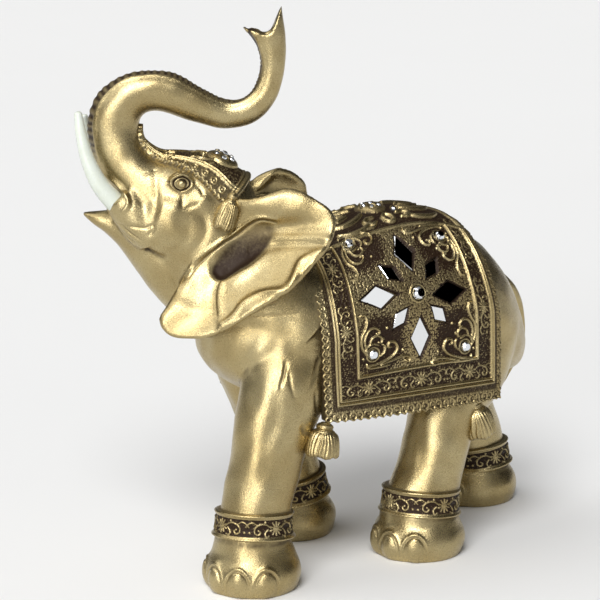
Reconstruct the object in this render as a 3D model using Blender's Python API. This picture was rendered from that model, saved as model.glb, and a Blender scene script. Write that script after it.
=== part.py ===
"""Elephant figurine in cast resin: a walking elephant with a raised trunk, a jewelled saddle cloth and cap.

The casting is one solid. The tusks, the mirrors and the stones are pieces of their own, glued into sockets.
The elephant faces -X and its left side faces -Y. The floor is z = 0, under the middle of the figure.
"""

import math
from functools import lru_cache

import bmesh
import bpy
from mathutils import Matrix, Vector

# Driving sizes, in metres
HEIGHT = 0.2142
GLUE_GAP = 0.0003
TUSK_BASE_RADIUS = 0.0038
CLOTH_LENGTH = 0.0840
CLOTH_STAND = 0.0020
CLOTH_SKIRT = 0.0050
FRAME_RIDGE = 0.0008
FRAME_WIDTH = 0.0016
OUTER_FRAME_INSET = 0.0063
FRAME_BAND = 0.0084
HEM_FRAME_INSET = 0.0083
HEM_FRAME_BAND = 0.0098
MIRROR_THICKNESS = 0.0010
MIRROR_RECESS = 0.0010
LARGE_MIRROR_LENGTH = 0.0160
LARGE_MIRROR_WIDTH = 0.0090
LARGE_MIRROR_REACH = 0.0170
SMALL_MIRROR_LENGTH = 0.0108
SMALL_MIRROR_WIDTH = 0.0058
SMALL_MIRROR_REACH = 0.0127
REAR_MIRROR_REACH = 0.0148
REAR_MIRROR_DROP = 0.0010
STONE_SEAT = 0.0006
STONE_TABLE_SHARE = 0.55
CUP_WALL = 0.0009
CUP_HEIGHT = 0.0009
CENTRE_STONE_WIDTH = 0.0060
CENTRE_STONE_HEIGHT = 0.0024
CORNER_STONE_WIDTH = 0.0048
CORNER_STONE_HEIGHT = 0.0020
CLUSTER_STONE_WIDTH = 0.0026
CLUSTER_STONE_HEIGHT = 0.0013
CLUSTER_SPACING = 0.0034
CLUSTER_RISE = 0.0016
CLUSTER_LEAN = math.radians(20.0)
ANKLET_HEIGHT = 0.0098
ANKLET_STAND = 0.0016
ANKLET_RECESS = 0.0007
CAP_STAND = 0.0013
EAR_THICKNESS = 0.0030
FUSE_CELL = 0.0011

# The figure is drawn at its original height in millimetres, and scaled by its height
DRAWN_HEIGHT = 214.2
FIG = HEIGHT / DRAWN_HEIGHT
HEAD_TURN = math.radians(33.0)
NECK_PIVOT = (-8.0, 0.0)

# Torso sections: x, top, underside, half width
TORSO = (
    (-32.2, 96.0, 87.0, 5.0),
    (-29.2, 103.0, 80.5, 13.0),
    (-22.0, 110.5, 74.0, 22.5),
    (-10.0, 117.5, 67.0, 30.0),
    (4.0, 120.4, 65.0, 33.5),
    (20.0, 125.6, 64.0, 35.0),
    (40.0, 130.0, 63.5, 36.0),
    (58.0, 130.4, 63.5, 36.0),
    (74.0, 126.6, 63.5, 34.8),
    (88.0, 118.0, 62.0, 31.6),
    (98.5, 108.0, 60.0, 25.8),
    (105.8, 97.2, 59.5, 20.2),
    (111.8, 88.0, 60.0, 14.0),
    (115.4, 79.0, 64.0, 5.4),
)

# Neck, head and trunk in the head's own plane: forward, up, crown side, throat side, half width
HEAD = (
    (-14.0, 92.0, 25.0, 24.0, 28.0),
    (-4.0, 103.0, 25.0, 26.0, 26.0),
    (6.0, 113.0, 24.0, 25.0, 23.0),
    (15.0, 122.5, 22.5, 24.0, 20.5),
    (23.0, 131.0, 26.0, 21.5, 20.0),
    (31.0, 138.5, 24.0, 17.5, 19.0),
    (39.0, 145.0, 18.5, 14.0, 16.5),
    (46.0, 152.0, 11.7, 11.7, 13.0),
    (51.5, 160.5, 8.8, 10.6, 10.2),
    (53.6, 169.0, 9.0, 10.2, 9.3),
    (52.5, 176.5, 9.0, 9.6, 8.9),
    (47.5, 182.2, 8.8, 7.7, 8.3),
    (41.0, 184.0, 8.6, 6.9, 7.9),
    (34.5, 183.3, 8.2, 7.0, 7.5),
    (28.0, 180.7, 7.4, 6.6, 6.9),
    (21.0, 177.2, 6.6, 5.8, 6.1),
    (13.0, 174.8, 5.9, 5.2, 5.5),
    (5.5, 175.6, 5.4, 4.8, 5.1),
    (0.2, 179.4, 5.0, 4.6, 4.8),
    (-3.3, 185.0, 4.6, 4.6, 4.7),
    (-4.8, 191.5, 4.6, 4.6, 4.7),
    (-4.6, 197.5, 5.1, 5.0, 4.9),
    (-3.6, 203.0, 6.2, 6.4, 5.3),
)

# Lower jaw in the head's plane: forward, up, half height, half width
JAW = (
    (22.0, 113.5, 22.5, 12.5),
    (30.0, 117.2, 21.8, 13.2),
    (38.0, 122.6, 18.6, 13.0),
    (46.0, 127.4, 12.6, 11.2),
    (52.5, 131.8, 7.3, 8.6),
    (58.5, 134.3, 3.9, 5.8),
    (63.5, 136.3, 1.8, 3.4),
    (66.3, 137.4, 0.7, 1.6),
)

# Left tusk in the head's plane: forward, up, share of the base radius
TUSK = (
    (48.0, 136.8, 1.0),
    (53.0, 142.6, 1.0),
    (59.4, 150.3, 0.88),
    (63.7, 159.6, 0.70),
    (66.0, 168.9, 0.54),
    (66.9, 175.6, 0.40),
)
TUSK_SPREAD = (11.5, 11.5, 11.3, 10.6, 9.2, 7.4)
# How far back and down the far tusk's tip sits
FAR_TUSK_SAG = (1.6, 3.2)

# Left ear: rim and root in the head's frame: forward, out, up, and the bulge between them
EAR_RIM = (
    (9.4, 17.0, 146.2),
    (0.0, 18.0, 144.6),
    (-10.9, 20.0, 149.2),
    (-23.5, 24.0, 143.8),
    (-26.5, 27.0, 136.5),
    (-22.7, 32.0, 129.1),
    (-10.4, 37.0, 116.7),
    (3.4, 38.0, 107.7),
    (18.6, 35.0, 98.3),
    (32.4, 31.0, 96.7),
    (37.9, 29.0, 101.2),
    (35.6, 27.0, 104.9),
    (30.8, 21.0, 112.0),
)
EAR_ROOT = (
    (13.0, 15.0, 146.0),
    (11.0, 15.0, 140.0),
    (17.0, 16.0, 132.6),
    (23.0, 16.5, 125.1),
    (26.0, 17.0, 118.0),
    (29.5, 16.0, 111.5),
)
EAR_BULGE = (0.0, 2.5, 4.0, 2.5, -2.0, -4.0, -5.0, -4.0, -1.5, 2.0, 2.0, 0.5, 0.0)
FAR_EAR_SWING = math.radians(24.0)
# The lips at the trunk's end rise this far on the crown side, on the throat side and at the least
LIP_CROWN_LIFT = 9.2
LIP_THROAT_LIFT = 4.2
LIP_LEAST_LIFT = 1.8
# The cap keeps less of its stand from this station on
CAP_THINNING = 0.7
CAP_THIN_START = 6.6
CAP_THIN_SPAN = 2.2
# The far ear sits lower at its front end, and its rear edge reaches less far at a place along the rim
FAR_EAR_DROP = 5.0
FAR_EAR_DROP_END = 0.17
FAR_EAR_NARROWING = 0.11
FAR_EAR_NARROWEST = 0.3
FAR_EAR_NARROW_SPAN = 0.1

# Legs, from the shoulder or hip down to the ankle: x, y, z, half length, half width. The foot follows
LEGS = {
    "front_left": (
        (0.0, -15.0, 92.0, 19.0, 15.0),
        (-8.2, -18.0, 75.0, 16.4, 15.0),
        (-15.2, -19.5, 60.0, 14.7, 13.8),
        (-20.0, -20.0, 46.0, 13.8, 13.0),
        (-24.0, -20.0, 32.0, 13.2, 13.0),
        (-26.0, -20.0, 20.0, 13.8, 13.8),
    ),
    "front_right": (
        (-2.0, 15.0, 92.0, 19.0, 15.0),
        (4.0, 19.0, 75.0, 18.0, 15.0),
        (11.5, 23.0, 58.0, 15.0, 13.6),
        (17.0, 25.0, 44.0, 13.6, 13.0),
        (21.5, 26.0, 30.0, 13.2, 13.0),
        (24.5, 26.0, 18.0, 13.8, 13.8),
    ),
    "rear_left": (
        (82.0, -14.0, 86.0, 23.0, 18.0),
        (74.0, -19.0, 69.0, 20.0, 16.5),
        (63.2, -22.5, 54.0, 14.0, 13.8),
        (58.2, -24.0, 41.0, 12.9, 13.0),
        (54.4, -24.0, 29.0, 13.2, 13.2),
        (50.0, -24.0, 18.0, 14.4, 14.0),
    ),
    "rear_right": (
        (86.0, 14.0, 86.0, 23.0, 18.0),
        (92.0, 17.0, 69.0, 19.0, 16.5),
        (98.2, 18.0, 53.0, 14.6, 13.8),
        (104.4, 18.0, 41.0, 13.6, 13.0),
        (109.8, 18.0, 29.0, 13.4, 13.0),
        (112.5, 18.0, 18.0, 13.8, 13.8),
    ),
}
# Foot profile below the ankle: height, radius, for every leg
FOOT = ((13.0, 16.0), (9.0, 17.8), (5.0, 18.2), (1.5, 17.2), (-2.5, 15.5))
TOE_ANGLES = {
    "front_left": (-72.0, -36.0, 0.0, 36.0),
    "front_right": (72.0, 36.0, 0.0, -36.0),
    "rear_left": (-47.0, -12.0, 23.0),
    "rear_right": (47.0, 12.0, -23.0),
}

# The saddle cloth: its front edge at the hem, its hem and how steeply that drops rearwards, and how its front
# and rear edges sway on the way up
CLOTH_FRONT = -3.0
CLOTH_HEM = 62.0
HEM_DROP = 0.038
CLOTH_SWAY = ((0.0, 0.0, 0.0), (0.35, -1.5, -0.8), (0.55, -0.5, -3.0), (0.75, 2.6, -4.0), (1.0, 6.0, -3.0))
FLOWER_PLACE = 39.4
FLOWER_HEIGHT = 106.4
UPPER_LINE_DROP = 18.5
CORNER_STONES = ((20.6, 124.4), (58.6, 124.1), (17.2, 86.0), (61.0, 82.9))
CLUSTER_PLACE = 44.0
LONE_STONE = (51.5, 5.0)

# Where each anklet's middle lies on its leg, and how level it sits
ANKLETS = {
    "front_left": (4.6, 0.7),
    "front_right": (4.85, 0.2),
    "rear_left": (4.72, 0.8),
    "rear_right": (4.92, 0.0),
}

# The cap, along the head's stations: station, half angle from the crown
CAP = (
    (4.0, 52.0),
    (4.4, 55.0),
    (5.2, 48.0),
    (6.0, 39.0),
    (6.8, 33.0),
    (7.4, 29.0),
    (8.0, 25.0),
    (8.6, 21.0),
    (9.1, 13.0),
    (9.3, 4.0),
)
CAP_CLUSTER_STATION = 4.95

# Tassels, from the knot down: two on each side of the cloth, against the legs, and the cap's
CLOTH_TASSELS = (
    ((-2.6, -33.6, 61.0), (-4.6, -34.0, 49.6)),
    ((69.8, -33.0, 57.5), (73.2, -33.5, 45.0)),
    ((20.0, 33.0, 61.5), (22.0, 34.5, 50.0)),
    ((88.0, 33.0, 61.5), (90.0, 33.5, 50.0)),
)
CAP_TASSEL = ((10.6, 17.6, 146.5), (14.6, 19.5, 134.8))
TASSEL_PROFILE = (
    (-0.12, 0.8), (-0.02, 2.7), (0.08, 2.6), (0.16, 2.0),
    (0.26, 3.6), (0.5, 5.0), (0.85, 5.9), (1.0, 4.6),
)

TAIL = (
    (108.0, 97.0, 4.0),
    (115.5, 90.0, 3.2),
    (120.3, 80.0, 2.4),
    (121.0, 69.0, 2.2),
    (116.0, 60.0, 2.6),
    (110.5, 53.0, 3.0),
    (107.0, 49.5, 1.4),
)
SLEEVE = ((38.0, 131.0, 9.0), (44.0, 136.0, 8.6), (49.0, 141.5, 7.6), (52.5, 145.8, 6.6))
SLEEVE_SPREAD = 9.8
BODY_DETAIL = 0.0212

GOLD = (0.60, 0.46, 0.22, 1.0)
IVORY = (0.86, 0.87, 0.80, 1.0)
SILVER = (0.90, 0.91, 0.92, 1.0)
CRYSTAL = (0.93, 0.95, 0.97, 1.0)


def clear_scene():
    for old in list(bpy.data.objects):
        bpy.data.objects.remove(old)


def catmull(before, start, end, after, share):
    """The Catmull-Rom value between start and end."""
    return 0.5 * (
        2 * start
        + (end - before) * share
        + (2 * before - 5 * start + 4 * end - after) * share**2
        + (3 * start - before - 3 * end + after) * share**3
    )


def row_at(rows, place):
    """The row at a fractional index, smooth through all the rows."""
    last = len(rows) - 1
    place = min(max(place, 0.0), last)
    start = min(int(place), last - 1)
    picks = [rows[min(max(start + k, 0), last)] for k in (-1, 0, 1, 2)]
    return tuple(catmull(*values, place - start) for values in zip(*picks))


def rows_between(rows, steps):
    """Rows at even fractional indices, steps of them to each gap."""
    count = (len(rows) - 1) * steps
    return [row_at(rows, index / steps) for index in range(count + 1)]


def place_of(rows, value):
    """The fractional index where the rows' first number, which rises, reaches value."""
    low, high = 0.0, len(rows) - 1.0
    for _ in range(30):
        middle = (low + high) / 2
        if row_at(rows, middle)[0] < value:
            low = middle
        else:
            high = middle
    return (low + high) / 2


def head_point(forward, out, up):
    """A point of the head's frame in the figure's. Out is towards the left ear."""
    ahead = Vector((-math.cos(HEAD_TURN), math.sin(HEAD_TURN), 0.0))
    left = Vector((-math.sin(HEAD_TURN), -math.cos(HEAD_TURN), 0.0))
    return Vector((*NECK_PIVOT, up)) + ahead * forward + left * out


def oval(centre, across, along, count=24):
    """Points round an ellipse with the half axes across and along."""
    points = []
    for index in range(count):
        angle = math.tau * index / count
        points.append(centre + across * math.cos(angle) + along * math.sin(angle))
    return points


def skin_rings(bm, rings):
    """A tube of quads through the rings, with filled ends."""
    loops = [[bm.verts.new(point) for point in ring] for ring in rings]
    for first, second in zip(loops, loops[1:]):
        for index in range(len(first)):
            following = (index + 1) % len(first)
            bm.faces.new((first[index], first[following], second[following], second[index]))
    bm.faces.new(list(reversed(loops[0])))
    bm.faces.new(loops[-1])


def skin_sheets(bm, outer, inner):
    """A closed slab between two grids of points of the same size."""
    grids = [[[bm.verts.new(point) for point in row] for row in grid] for grid in (outer, inner)]
    rows, columns = len(outer), len(outer[0])
    for grid in grids:
        for i in range(rows - 1):
            for j in range(columns - 1):
                bm.faces.new((grid[i][j], grid[i + 1][j], grid[i + 1][j + 1], grid[i][j + 1]))
    top, low = grids
    for i in range(rows - 1):
        for j in (0, columns - 1):
            bm.faces.new((top[i][j], top[i + 1][j], low[i + 1][j], low[i][j]))
    for j in range(columns - 1):
        for i in (0, rows - 1):
            bm.faces.new((top[i][j], top[i][j + 1], low[i][j + 1], low[i][j]))


def add_ball(bm, centre, radii, turn=None):
    """A closed ellipsoid."""
    matrix = Matrix.Translation(centre) @ (turn or Matrix.Identity(4)) @ Matrix.Diagonal((*radii, 1.0))
    bmesh.ops.create_icosphere(bm, subdivisions=3, radius=1.0, matrix=matrix)


def torso_point(row, angle, grow=0.0):
    """A point of a torso section, which is a little narrower above than below."""
    x, top, under, half_width = row
    c, s = math.cos(angle), math.sin(angle)
    c = math.copysign(abs(c) ** 0.86, c)
    s = math.copysign(abs(s) ** 0.94, s)
    width = (half_width + grow) * (1 - 0.10 * s)
    return Vector((x, width * c, (top + under) / 2 + ((top - under) / 2 + grow) * s))


def add_torso(bm):
    rings = []
    for row in rows_between(TORSO, 3):
        rings.append([torso_point(row, math.tau * index / 32) for index in range(32)])
    skin_rings(bm, rings)


def head_frame(place):
    """The centre and the crown's direction of the head's section at a station, with its row."""
    row = row_at(HEAD, place)
    ahead, behind = row_at(HEAD, place + 0.3), row_at(HEAD, place - 0.3)
    run = Vector((ahead[0] - behind[0], ahead[1] - behind[1])).normalized()
    return row, Vector((-run.y, run.x))


def head_surface(place, angle, lift=0.0):
    """A point of the neck, head or trunk. The angle runs from the crown towards the left."""
    row, crown = head_frame(place)
    reach = (row[2] if math.cos(angle) > 0 else row[3]) + lift
    flat = Vector(row[:2]) + crown * reach * math.cos(angle)
    return head_point(flat.x, (row[4] + lift) * math.sin(angle), flat.y)


def add_head(bm):
    rings = []
    for step in range(3 * (len(HEAD) - 1) + 1):
        rings.append([head_surface(step / 3, math.tau * index / 24) for index in range(24)])
    last = rings[-1]
    centre = sum(last, Vector()) / len(last)
    rise = (centre - sum(rings[-2], Vector()) / len(last)).normalized()
    lips = []
    for index, point in enumerate(last):
        s = math.cos(math.tau * index / len(last))
        lift = LIP_CROWN_LIFT * max(s, 0.0) ** 1.5 + LIP_THROAT_LIFT * max(-s, 0.0) ** 2
        spread = 1.0 + 0.15 * max(s, 0.0) + 0.45 * max(-s, 0.0)
        lips.append(centre + (point - centre) * spread + rise * (lift + LIP_LEAST_LIFT))
    inner = [centre + (point - centre) * 0.45 + rise * 0.5 for point in lips]
    pit = [centre + (point - centre) * 0.35 - rise * 3.0 for point in last]
    skin_rings(bm, [*rings, lips, inner, pit])


def add_jaw(bm):
    rings = []
    for forward, up, half_height, half_width in rows_between(JAW, 3):
        centre = head_point(forward, 0.0, up)
        across = head_point(forward, half_width, up) - centre
        rings.append(oval(centre, across, Vector((0, 0, half_height)), 20))
    skin_rings(bm, rings)


def add_face(bm):
    """Cheeks, eyes and the sleeves that the tusks come out of."""
    turn = Matrix.Rotation(-HEAD_TURN, 4, "Z")
    for side in (-1, 1):
        add_ball(bm, head_point(33.0, 13.0 * side, 136.0), (13.0, 7.5, 12.5), turn)
        add_ball(bm, head_point(30.0, 15.0 * side, 151.3), (4.2, 2.6, 4.2), turn)
        sleeve = []
        for forward, up, radius in SLEEVE:
            centre = head_point(forward, SLEEVE_SPREAD * side, up)
            across = head_point(forward, SLEEVE_SPREAD * side + radius, up) - centre
            along = head_point(forward - 0.77 * radius, SLEEVE_SPREAD * side, up + 0.64 * radius) - centre
            sleeve.append(oval(centre, across, along, 20))
        skin_rings(bm, sleeve)


def ear_point(side, place, share):
    """A point of the ear between its root (share 0) and its rim (share 1)."""
    rim = row_at(EAR_RIM, place * (len(EAR_RIM) - 1))
    root = row_at(EAR_ROOT, place * (len(EAR_ROOT) - 1))
    bulge = row_at([(b,) for b in EAR_BULGE], place * (len(EAR_BULGE) - 1))[0]
    if side < 0:
        share *= 1 - FAR_EAR_NARROWING * math.exp(-(((place - FAR_EAR_NARROWEST) / FAR_EAR_NARROW_SPAN) ** 2))
    forward, out, up = (a + (b - a) * share for a, b in zip(root, rim))
    out += bulge * math.sin(math.pi * share)
    if side < 0:
        back, wide = forward - root[0], out - root[1]
        c, s = math.cos(FAR_EAR_SWING), math.sin(FAR_EAR_SWING)
        forward, out = root[0] + back * c, root[1] + wide * c + abs(back) * s * 0.5
        up -= FAR_EAR_DROP * share * max(0.0, 1 - (place / FAR_EAR_DROP_END) ** 2)
    return head_point(forward, out * side, up)


def add_ear(bm, side):
    """One ear: a curved fan, thicker at its root, with a thinner rim."""
    along, across = 48, 14
    half = EAR_THICKNESS / FIG / 2
    front, back = [], []
    for i in range(along + 1):
        place = i / along
        fore, aft = [], []
        for j in range(across + 1):
            share = -0.25 + 1.25 * j / across
            ahead, behind = min(place + 0.01, 1.0), max(place - 0.01, 0.0)
            a = ear_point(side, ahead, share) - ear_point(side, behind, share)
            b = ear_point(side, place, share + 0.02) - ear_point(side, place, share - 0.02)
            normal = a.cross(b).normalized()
            thick = half * (1.6 - 0.6 * min(1.0, j / across * 1.6)) * (0.7 if j == across else 1.0)
            point = ear_point(side, place, share)
            fore.append(point - normal * thick)
            aft.append(point + normal * thick)
        front.append(fore)
        back.append(aft)
    skin_sheets(bm, front, back)


def leg_rows(name):
    """The leg's stations with its foot's."""
    x, y = LEGS[name][-1][:2]
    return (*LEGS[name], *((x, y, z, r, r) for z, r in FOOT))


def leg_ring(rows, place, grow=0.0, slide=0.0, level=0.0, count=24):
    """A ring square to the leg at a fractional index, slid down along the leg and partly levelled."""
    x, y, z, half_length, half_width = row_at(rows, place)
    above, below = row_at(rows, place - 0.2), row_at(rows, place + 0.2)
    run = Vector([b - a for a, b in zip(above[:3], below[:3])]).normalized()
    run = run.lerp(Vector((0.0, 0.0, -1.0)), level).normalized()
    across = Vector((0, 1, 0))
    across = (across - run * across.dot(run)).normalized()
    along = run.cross(across)
    middle = Vector((x, y, z)) + run * slide
    return oval(middle, across * (half_width + grow), along * (half_length + grow), count)


def add_leg(bm, name):
    rows = leg_rows(name)
    steps = 3
    count = (len(rows) - 1) * steps
    skin_rings(bm, [leg_ring(rows, index / steps) for index in range(count + 1)])
    x, y = rows[-1][:2]
    for angle in TOE_ANGLES[name]:
        turn = Matrix.Rotation(math.radians(180 - angle), 4, "Z")
        add_ball(bm, Vector((x, y, 5.8)) + turn @ Vector((13.8, 0, 0)), (5.4, 5.3, 6.0), turn)


def add_tail(bm):
    rings = []
    for x, z, radius in TAIL:
        rings.append(oval(Vector((x, 0, z)), Vector((0, radius, 0)), Vector((radius, 0, radius * 0.4)), 14))
    skin_rings(bm, rings)


def add_muscles(bm):
    """Shoulder, haunch and breast masses."""
    for side in (-1, 1):
        add_ball(bm, Vector((-3.0, 19.0 * side, 88.0)), (18.0, 13.0, 22.0))
        add_ball(bm, Vector((83.0, 17.5 * side, 84.0)), (17.5, 14.0, 20.5))
    add_ball(bm, head_point(9.0, 0.0, 92.0), (14.0, 17.0, 15.0))


def add_tassel(bm, knot, end):
    """A bound knot over a skirt of strands."""
    run = end - knot
    across = run.orthogonal().normalized()
    along = run.normalized().cross(across)
    rings = []
    for share, radius in TASSEL_PROFILE:
        rings.append(oval(knot + run * share, across * radius, along * radius, 16))
    skin_rings(bm, rings)


def add_tassels(bm):
    for knot, end in CLOTH_TASSELS:
        add_tassel(bm, Vector(knot), Vector(end))
    for side in (-1, 1):
        add_tassel(bm, *(head_point(forward, out * side, up) for forward, out, up in CAP_TASSEL))


@lru_cache(maxsize=None)
def cloth_section(x):
    """The cloth's outer section from hem to hem over the back, and the distance along it."""
    row = row_at(TORSO, place_of(TORSO, x))
    grow = CLOTH_STAND / FIG
    arch = [torso_point(row, math.pi * (1 - index / 60), grow) for index in range(61)]
    hem = CLOTH_HEM - HEM_DROP * (x - CLOTH_FRONT)
    points = [Vector((x, arch[0].y, hem)), *arch, Vector((x, arch[-1].y, hem))]
    runs = [0.0]
    for a, b in zip(points, points[1:]):
        runs.append(runs[-1] + (b - a).length)
    return points, runs


def cloth_total(x):
    """The cloth's length from hem to hem at a section."""
    return cloth_section(x)[1][-1]


def cloth_point(x, run, lift=0.0):
    """A point of the cloth at a section, run up from its hem, with its outward direction."""
    points, runs = cloth_section(x)
    run = min(max(run, 0.0), runs[-1])
    index = max(k for k in range(len(runs) - 1) if runs[k] <= run)
    share = (run - runs[index]) / (runs[index + 1] - runs[index])
    ends = points[max(index - 2, 0)], points[min(index + 3, len(points) - 1)]
    along = (ends[1] - ends[0]).normalized()
    normal = Vector((0.0, -along.z, along.y))
    return points[index].lerp(points[index + 1], share) + normal * lift, normal


def cloth_run(x, height):
    """How far from the hem the cloth reaches a height."""
    low, high = 0.0, cloth_total(x) / 2
    for _ in range(24):
        middle = (low + high) / 2
        if cloth_point(x, middle)[0].z < height:
            low = middle
        else:
            high = middle
    return (low + high) / 2


def cloth_x(u, up, total):
    """The section at a place across the cloth, at a distance up it. Its edges sway on the way."""
    length = CLOTH_LENGTH / FIG
    share = min(up, total - up) / (total / 2)
    _, fore, aft = row_at(CLOTH_SWAY, place_of(CLOTH_SWAY, share))
    return CLOTH_FRONT + fore + u / length * (length + aft - fore)


@lru_cache(maxsize=None)
def cloth_lines():
    """The frame's places across and up the cloth, in drawn millimetres."""
    length = CLOTH_LENGTH / FIG
    sides = OUTER_FRAME_INSET / FIG, (OUTER_FRAME_INSET + FRAME_BAND) / FIG
    hems = HEM_FRAME_INSET / FIG, (HEM_FRAME_INSET + HEM_FRAME_BAND) / FIG
    total = cloth_total(FLOWER_PLACE)
    return length, sides, hems, total / 2 - UPPER_LINE_DROP, total


def frame_lift(u, run):
    """How high the frame's ridges stand at a place of the cloth."""
    length, (outer, inner), (low_outer, low_inner), upper, total = cloth_lines()
    half = FRAME_WIDTH / FIG / 2
    side = min(u, length - u)
    up = min(run, total - run)
    away = [abs(side - outer) if up >= low_outer - half else 99.0]
    away.append(abs(up - low_outer) if side >= outer - half else 99.0)
    away.append(abs(side - inner) if low_inner - half <= up <= upper + half else 99.0)
    away.append(abs(up - low_inner) if side >= inner - half else 99.0)
    away.append(abs(up - upper) if side >= outer - half else 99.0)
    return FRAME_RIDGE / FIG * max(0.0, 1 - min(away) / half)


def spread(stops, gap):
    """The stops, with even points between those that lie further apart than the gap."""
    values = [stops[0]]
    for a, b in zip(stops, stops[1:]):
        parts = max(1, math.ceil((b - a) / gap - 0.01))
        values.extend(a + (b - a) * (k + 1) / parts for k in range(parts))
    return values


def add_cloth(bm):
    """The saddle cloth: a framed sheet over the back, filled in to the body behind it."""
    length, sides, hems, upper, total = cloth_lines()
    half = FRAME_WIDTH / FIG / 2
    steps = (-half, 0.0, half)
    lines, rises = ([place + step for place in places for step in steps] for places in (sides, hems))
    us = spread([0.0, *lines, *(length - place for place in reversed(lines)), length], 30.0)
    ups = spread([0.0, *rises, upper - half, upper, upper + half, total / 2], 11.0)
    ups += [total - up for up in reversed(ups[:-1])]
    skirt, deck = CLOTH_SKIRT / FIG, 22.0
    rings = []
    for u in us:
        ring = []
        for up in ups:
            x = cloth_x(u, up, total)
            ring.append(cloth_point(x, up * cloth_total(x) / total, frame_lift(u, up))[0])
        left, right = ring[0] + Vector((0, skirt, 0)), ring[-1] - Vector((0, skirt, 0))
        rise = Vector((0.0, 0.0, deck))
        rings.append([*ring, right, right + rise, left + rise, left])
    skin_rings(bm, rings)


def cap_fade(station):
    """How much of its stand the cap keeps at a station; it thins towards its point."""
    return 1.0 - CAP_THINNING * min(max((station - CAP_THIN_START) / CAP_THIN_SPAN, 0.0), 1.0)


def add_cap(bm):
    """The cap: a pointed sheet over the brow, with a raised edge."""
    stations = [CAP[0][0], CAP[0][0] + 0.12, CAP[0][0] + 0.24, *(row[0] for row in CAP[1:])]
    shares = (-1.0, -0.73, -0.63, -0.53, -0.18, 0.18, 0.53, 0.63, 0.73, 1.0)
    outer, inner = [], []
    for index, station in enumerate(stations):
        half_angle = math.radians(row_at(CAP, place_of(CAP, station))[1])
        fore, aft = [], []
        for share in shares:
            ridge = abs(share) == 0.63 or index == 1
            lift = (CAP_STAND + (FRAME_RIDGE if ridge else 0.0)) / FIG * cap_fade(station)
            fore.append(head_surface(station, half_angle * share, lift))
            aft.append(head_surface(station, half_angle * share, -3.0))
        outer.append(fore)
        inner.append(aft)
    skin_sheets(bm, outer, inner)


def add_anklet(bm, name):
    """A band with a raised rim above and below."""
    rows = leg_rows(name)
    tall, stand, dip = ANKLET_HEIGHT / FIG, ANKLET_STAND / FIG, ANKLET_RECESS / FIG
    steps = ((-0.5, -4.0), (-0.45, stand), (-0.3, stand - dip))
    steps = (*steps, *((-share, grow) for share, grow in reversed(steps)))
    place, level = ANKLETS[name]
    rings = [leg_ring(rows, place, grow, share * tall, level, 16) for share, grow in steps]
    skin_rings(bm, rings)


def settle(place, normal, up_hint):
    """A frame at a place of the surface, Z outwards and Y along the hint."""
    z = normal.normalized()
    x = up_hint.cross(z).normalized()
    matrix = Matrix((x, z.cross(x), z)).transposed().to_4x4()
    return Matrix.Translation(place) @ matrix


def diamond(length, width, grow=0.0):
    """The corners of a diamond, grown evenly on all sides."""
    scale = 1 + 2 * grow * math.hypot(length, width) / (length * width)
    tall, wide = length / 2 * scale, width / 2 * scale
    return [(0.0, tall), (wide, 0.0), (0.0, -tall), (-wide, 0.0)]


def turned(radius, count, twist=0.0):
    """Points round a circle."""
    return [
        (radius * math.cos(math.tau * (k + twist) / count), radius * math.sin(math.tau * (k + twist) / count))
        for k in range(count)
    ]


def stack(bm, matrix, layers):
    """A closed solid through flat outlines at rising heights, all in the frame's metres."""
    skin_rings(bm, [[matrix @ Vector((x, y, z)) for x, y in outline] for z, outline in layers])


def cloth_seat(side, x, run, slant=0.0):
    """The frame of something set on the cloth, in metres, its Y up the cloth and turned by the slant."""
    far = cloth_total(x)
    place, normal = cloth_point(x, run if side > 0 else far - run)
    ahead, _ = cloth_point(x, run + 0.5 if side > 0 else far - run - 0.5)
    return settle(place * FIG, normal, ahead - place) @ Matrix.Rotation(slant * side, 4, "Z")


def mirror_seats():
    """Name, frame and size of every mirror: four large ones in a cross and four small ones between."""
    seats = []
    flower = cloth_run(FLOWER_PLACE, FLOWER_HEIGHT)
    for side, hand in ((1, "left"), (-1, "right")):
        for step in range(8):
            angle = math.pi / 4 * step
            large = step % 2 == 0
            reach = (LARGE_MIRROR_REACH if large else SMALL_MIRROR_REACH) / FIG
            size = SMALL_MIRROR_LENGTH, SMALL_MIRROR_WIDTH
            if large:
                size = LARGE_MIRROR_LENGTH, LARGE_MIRROR_WIDTH
            drop = 0.0
            if step == 2:
                reach, drop = REAR_MIRROR_REACH / FIG, REAR_MIRROR_DROP / FIG
            x = FLOWER_PLACE + reach * math.sin(angle)
            frame = cloth_seat(side, x, flower + reach * math.cos(angle) - drop, -angle)
            seats.append((f"mirror_{hand}_{'large' if large else 'small'}_{step // 2 + 1}", frame, size))
    return seats


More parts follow.
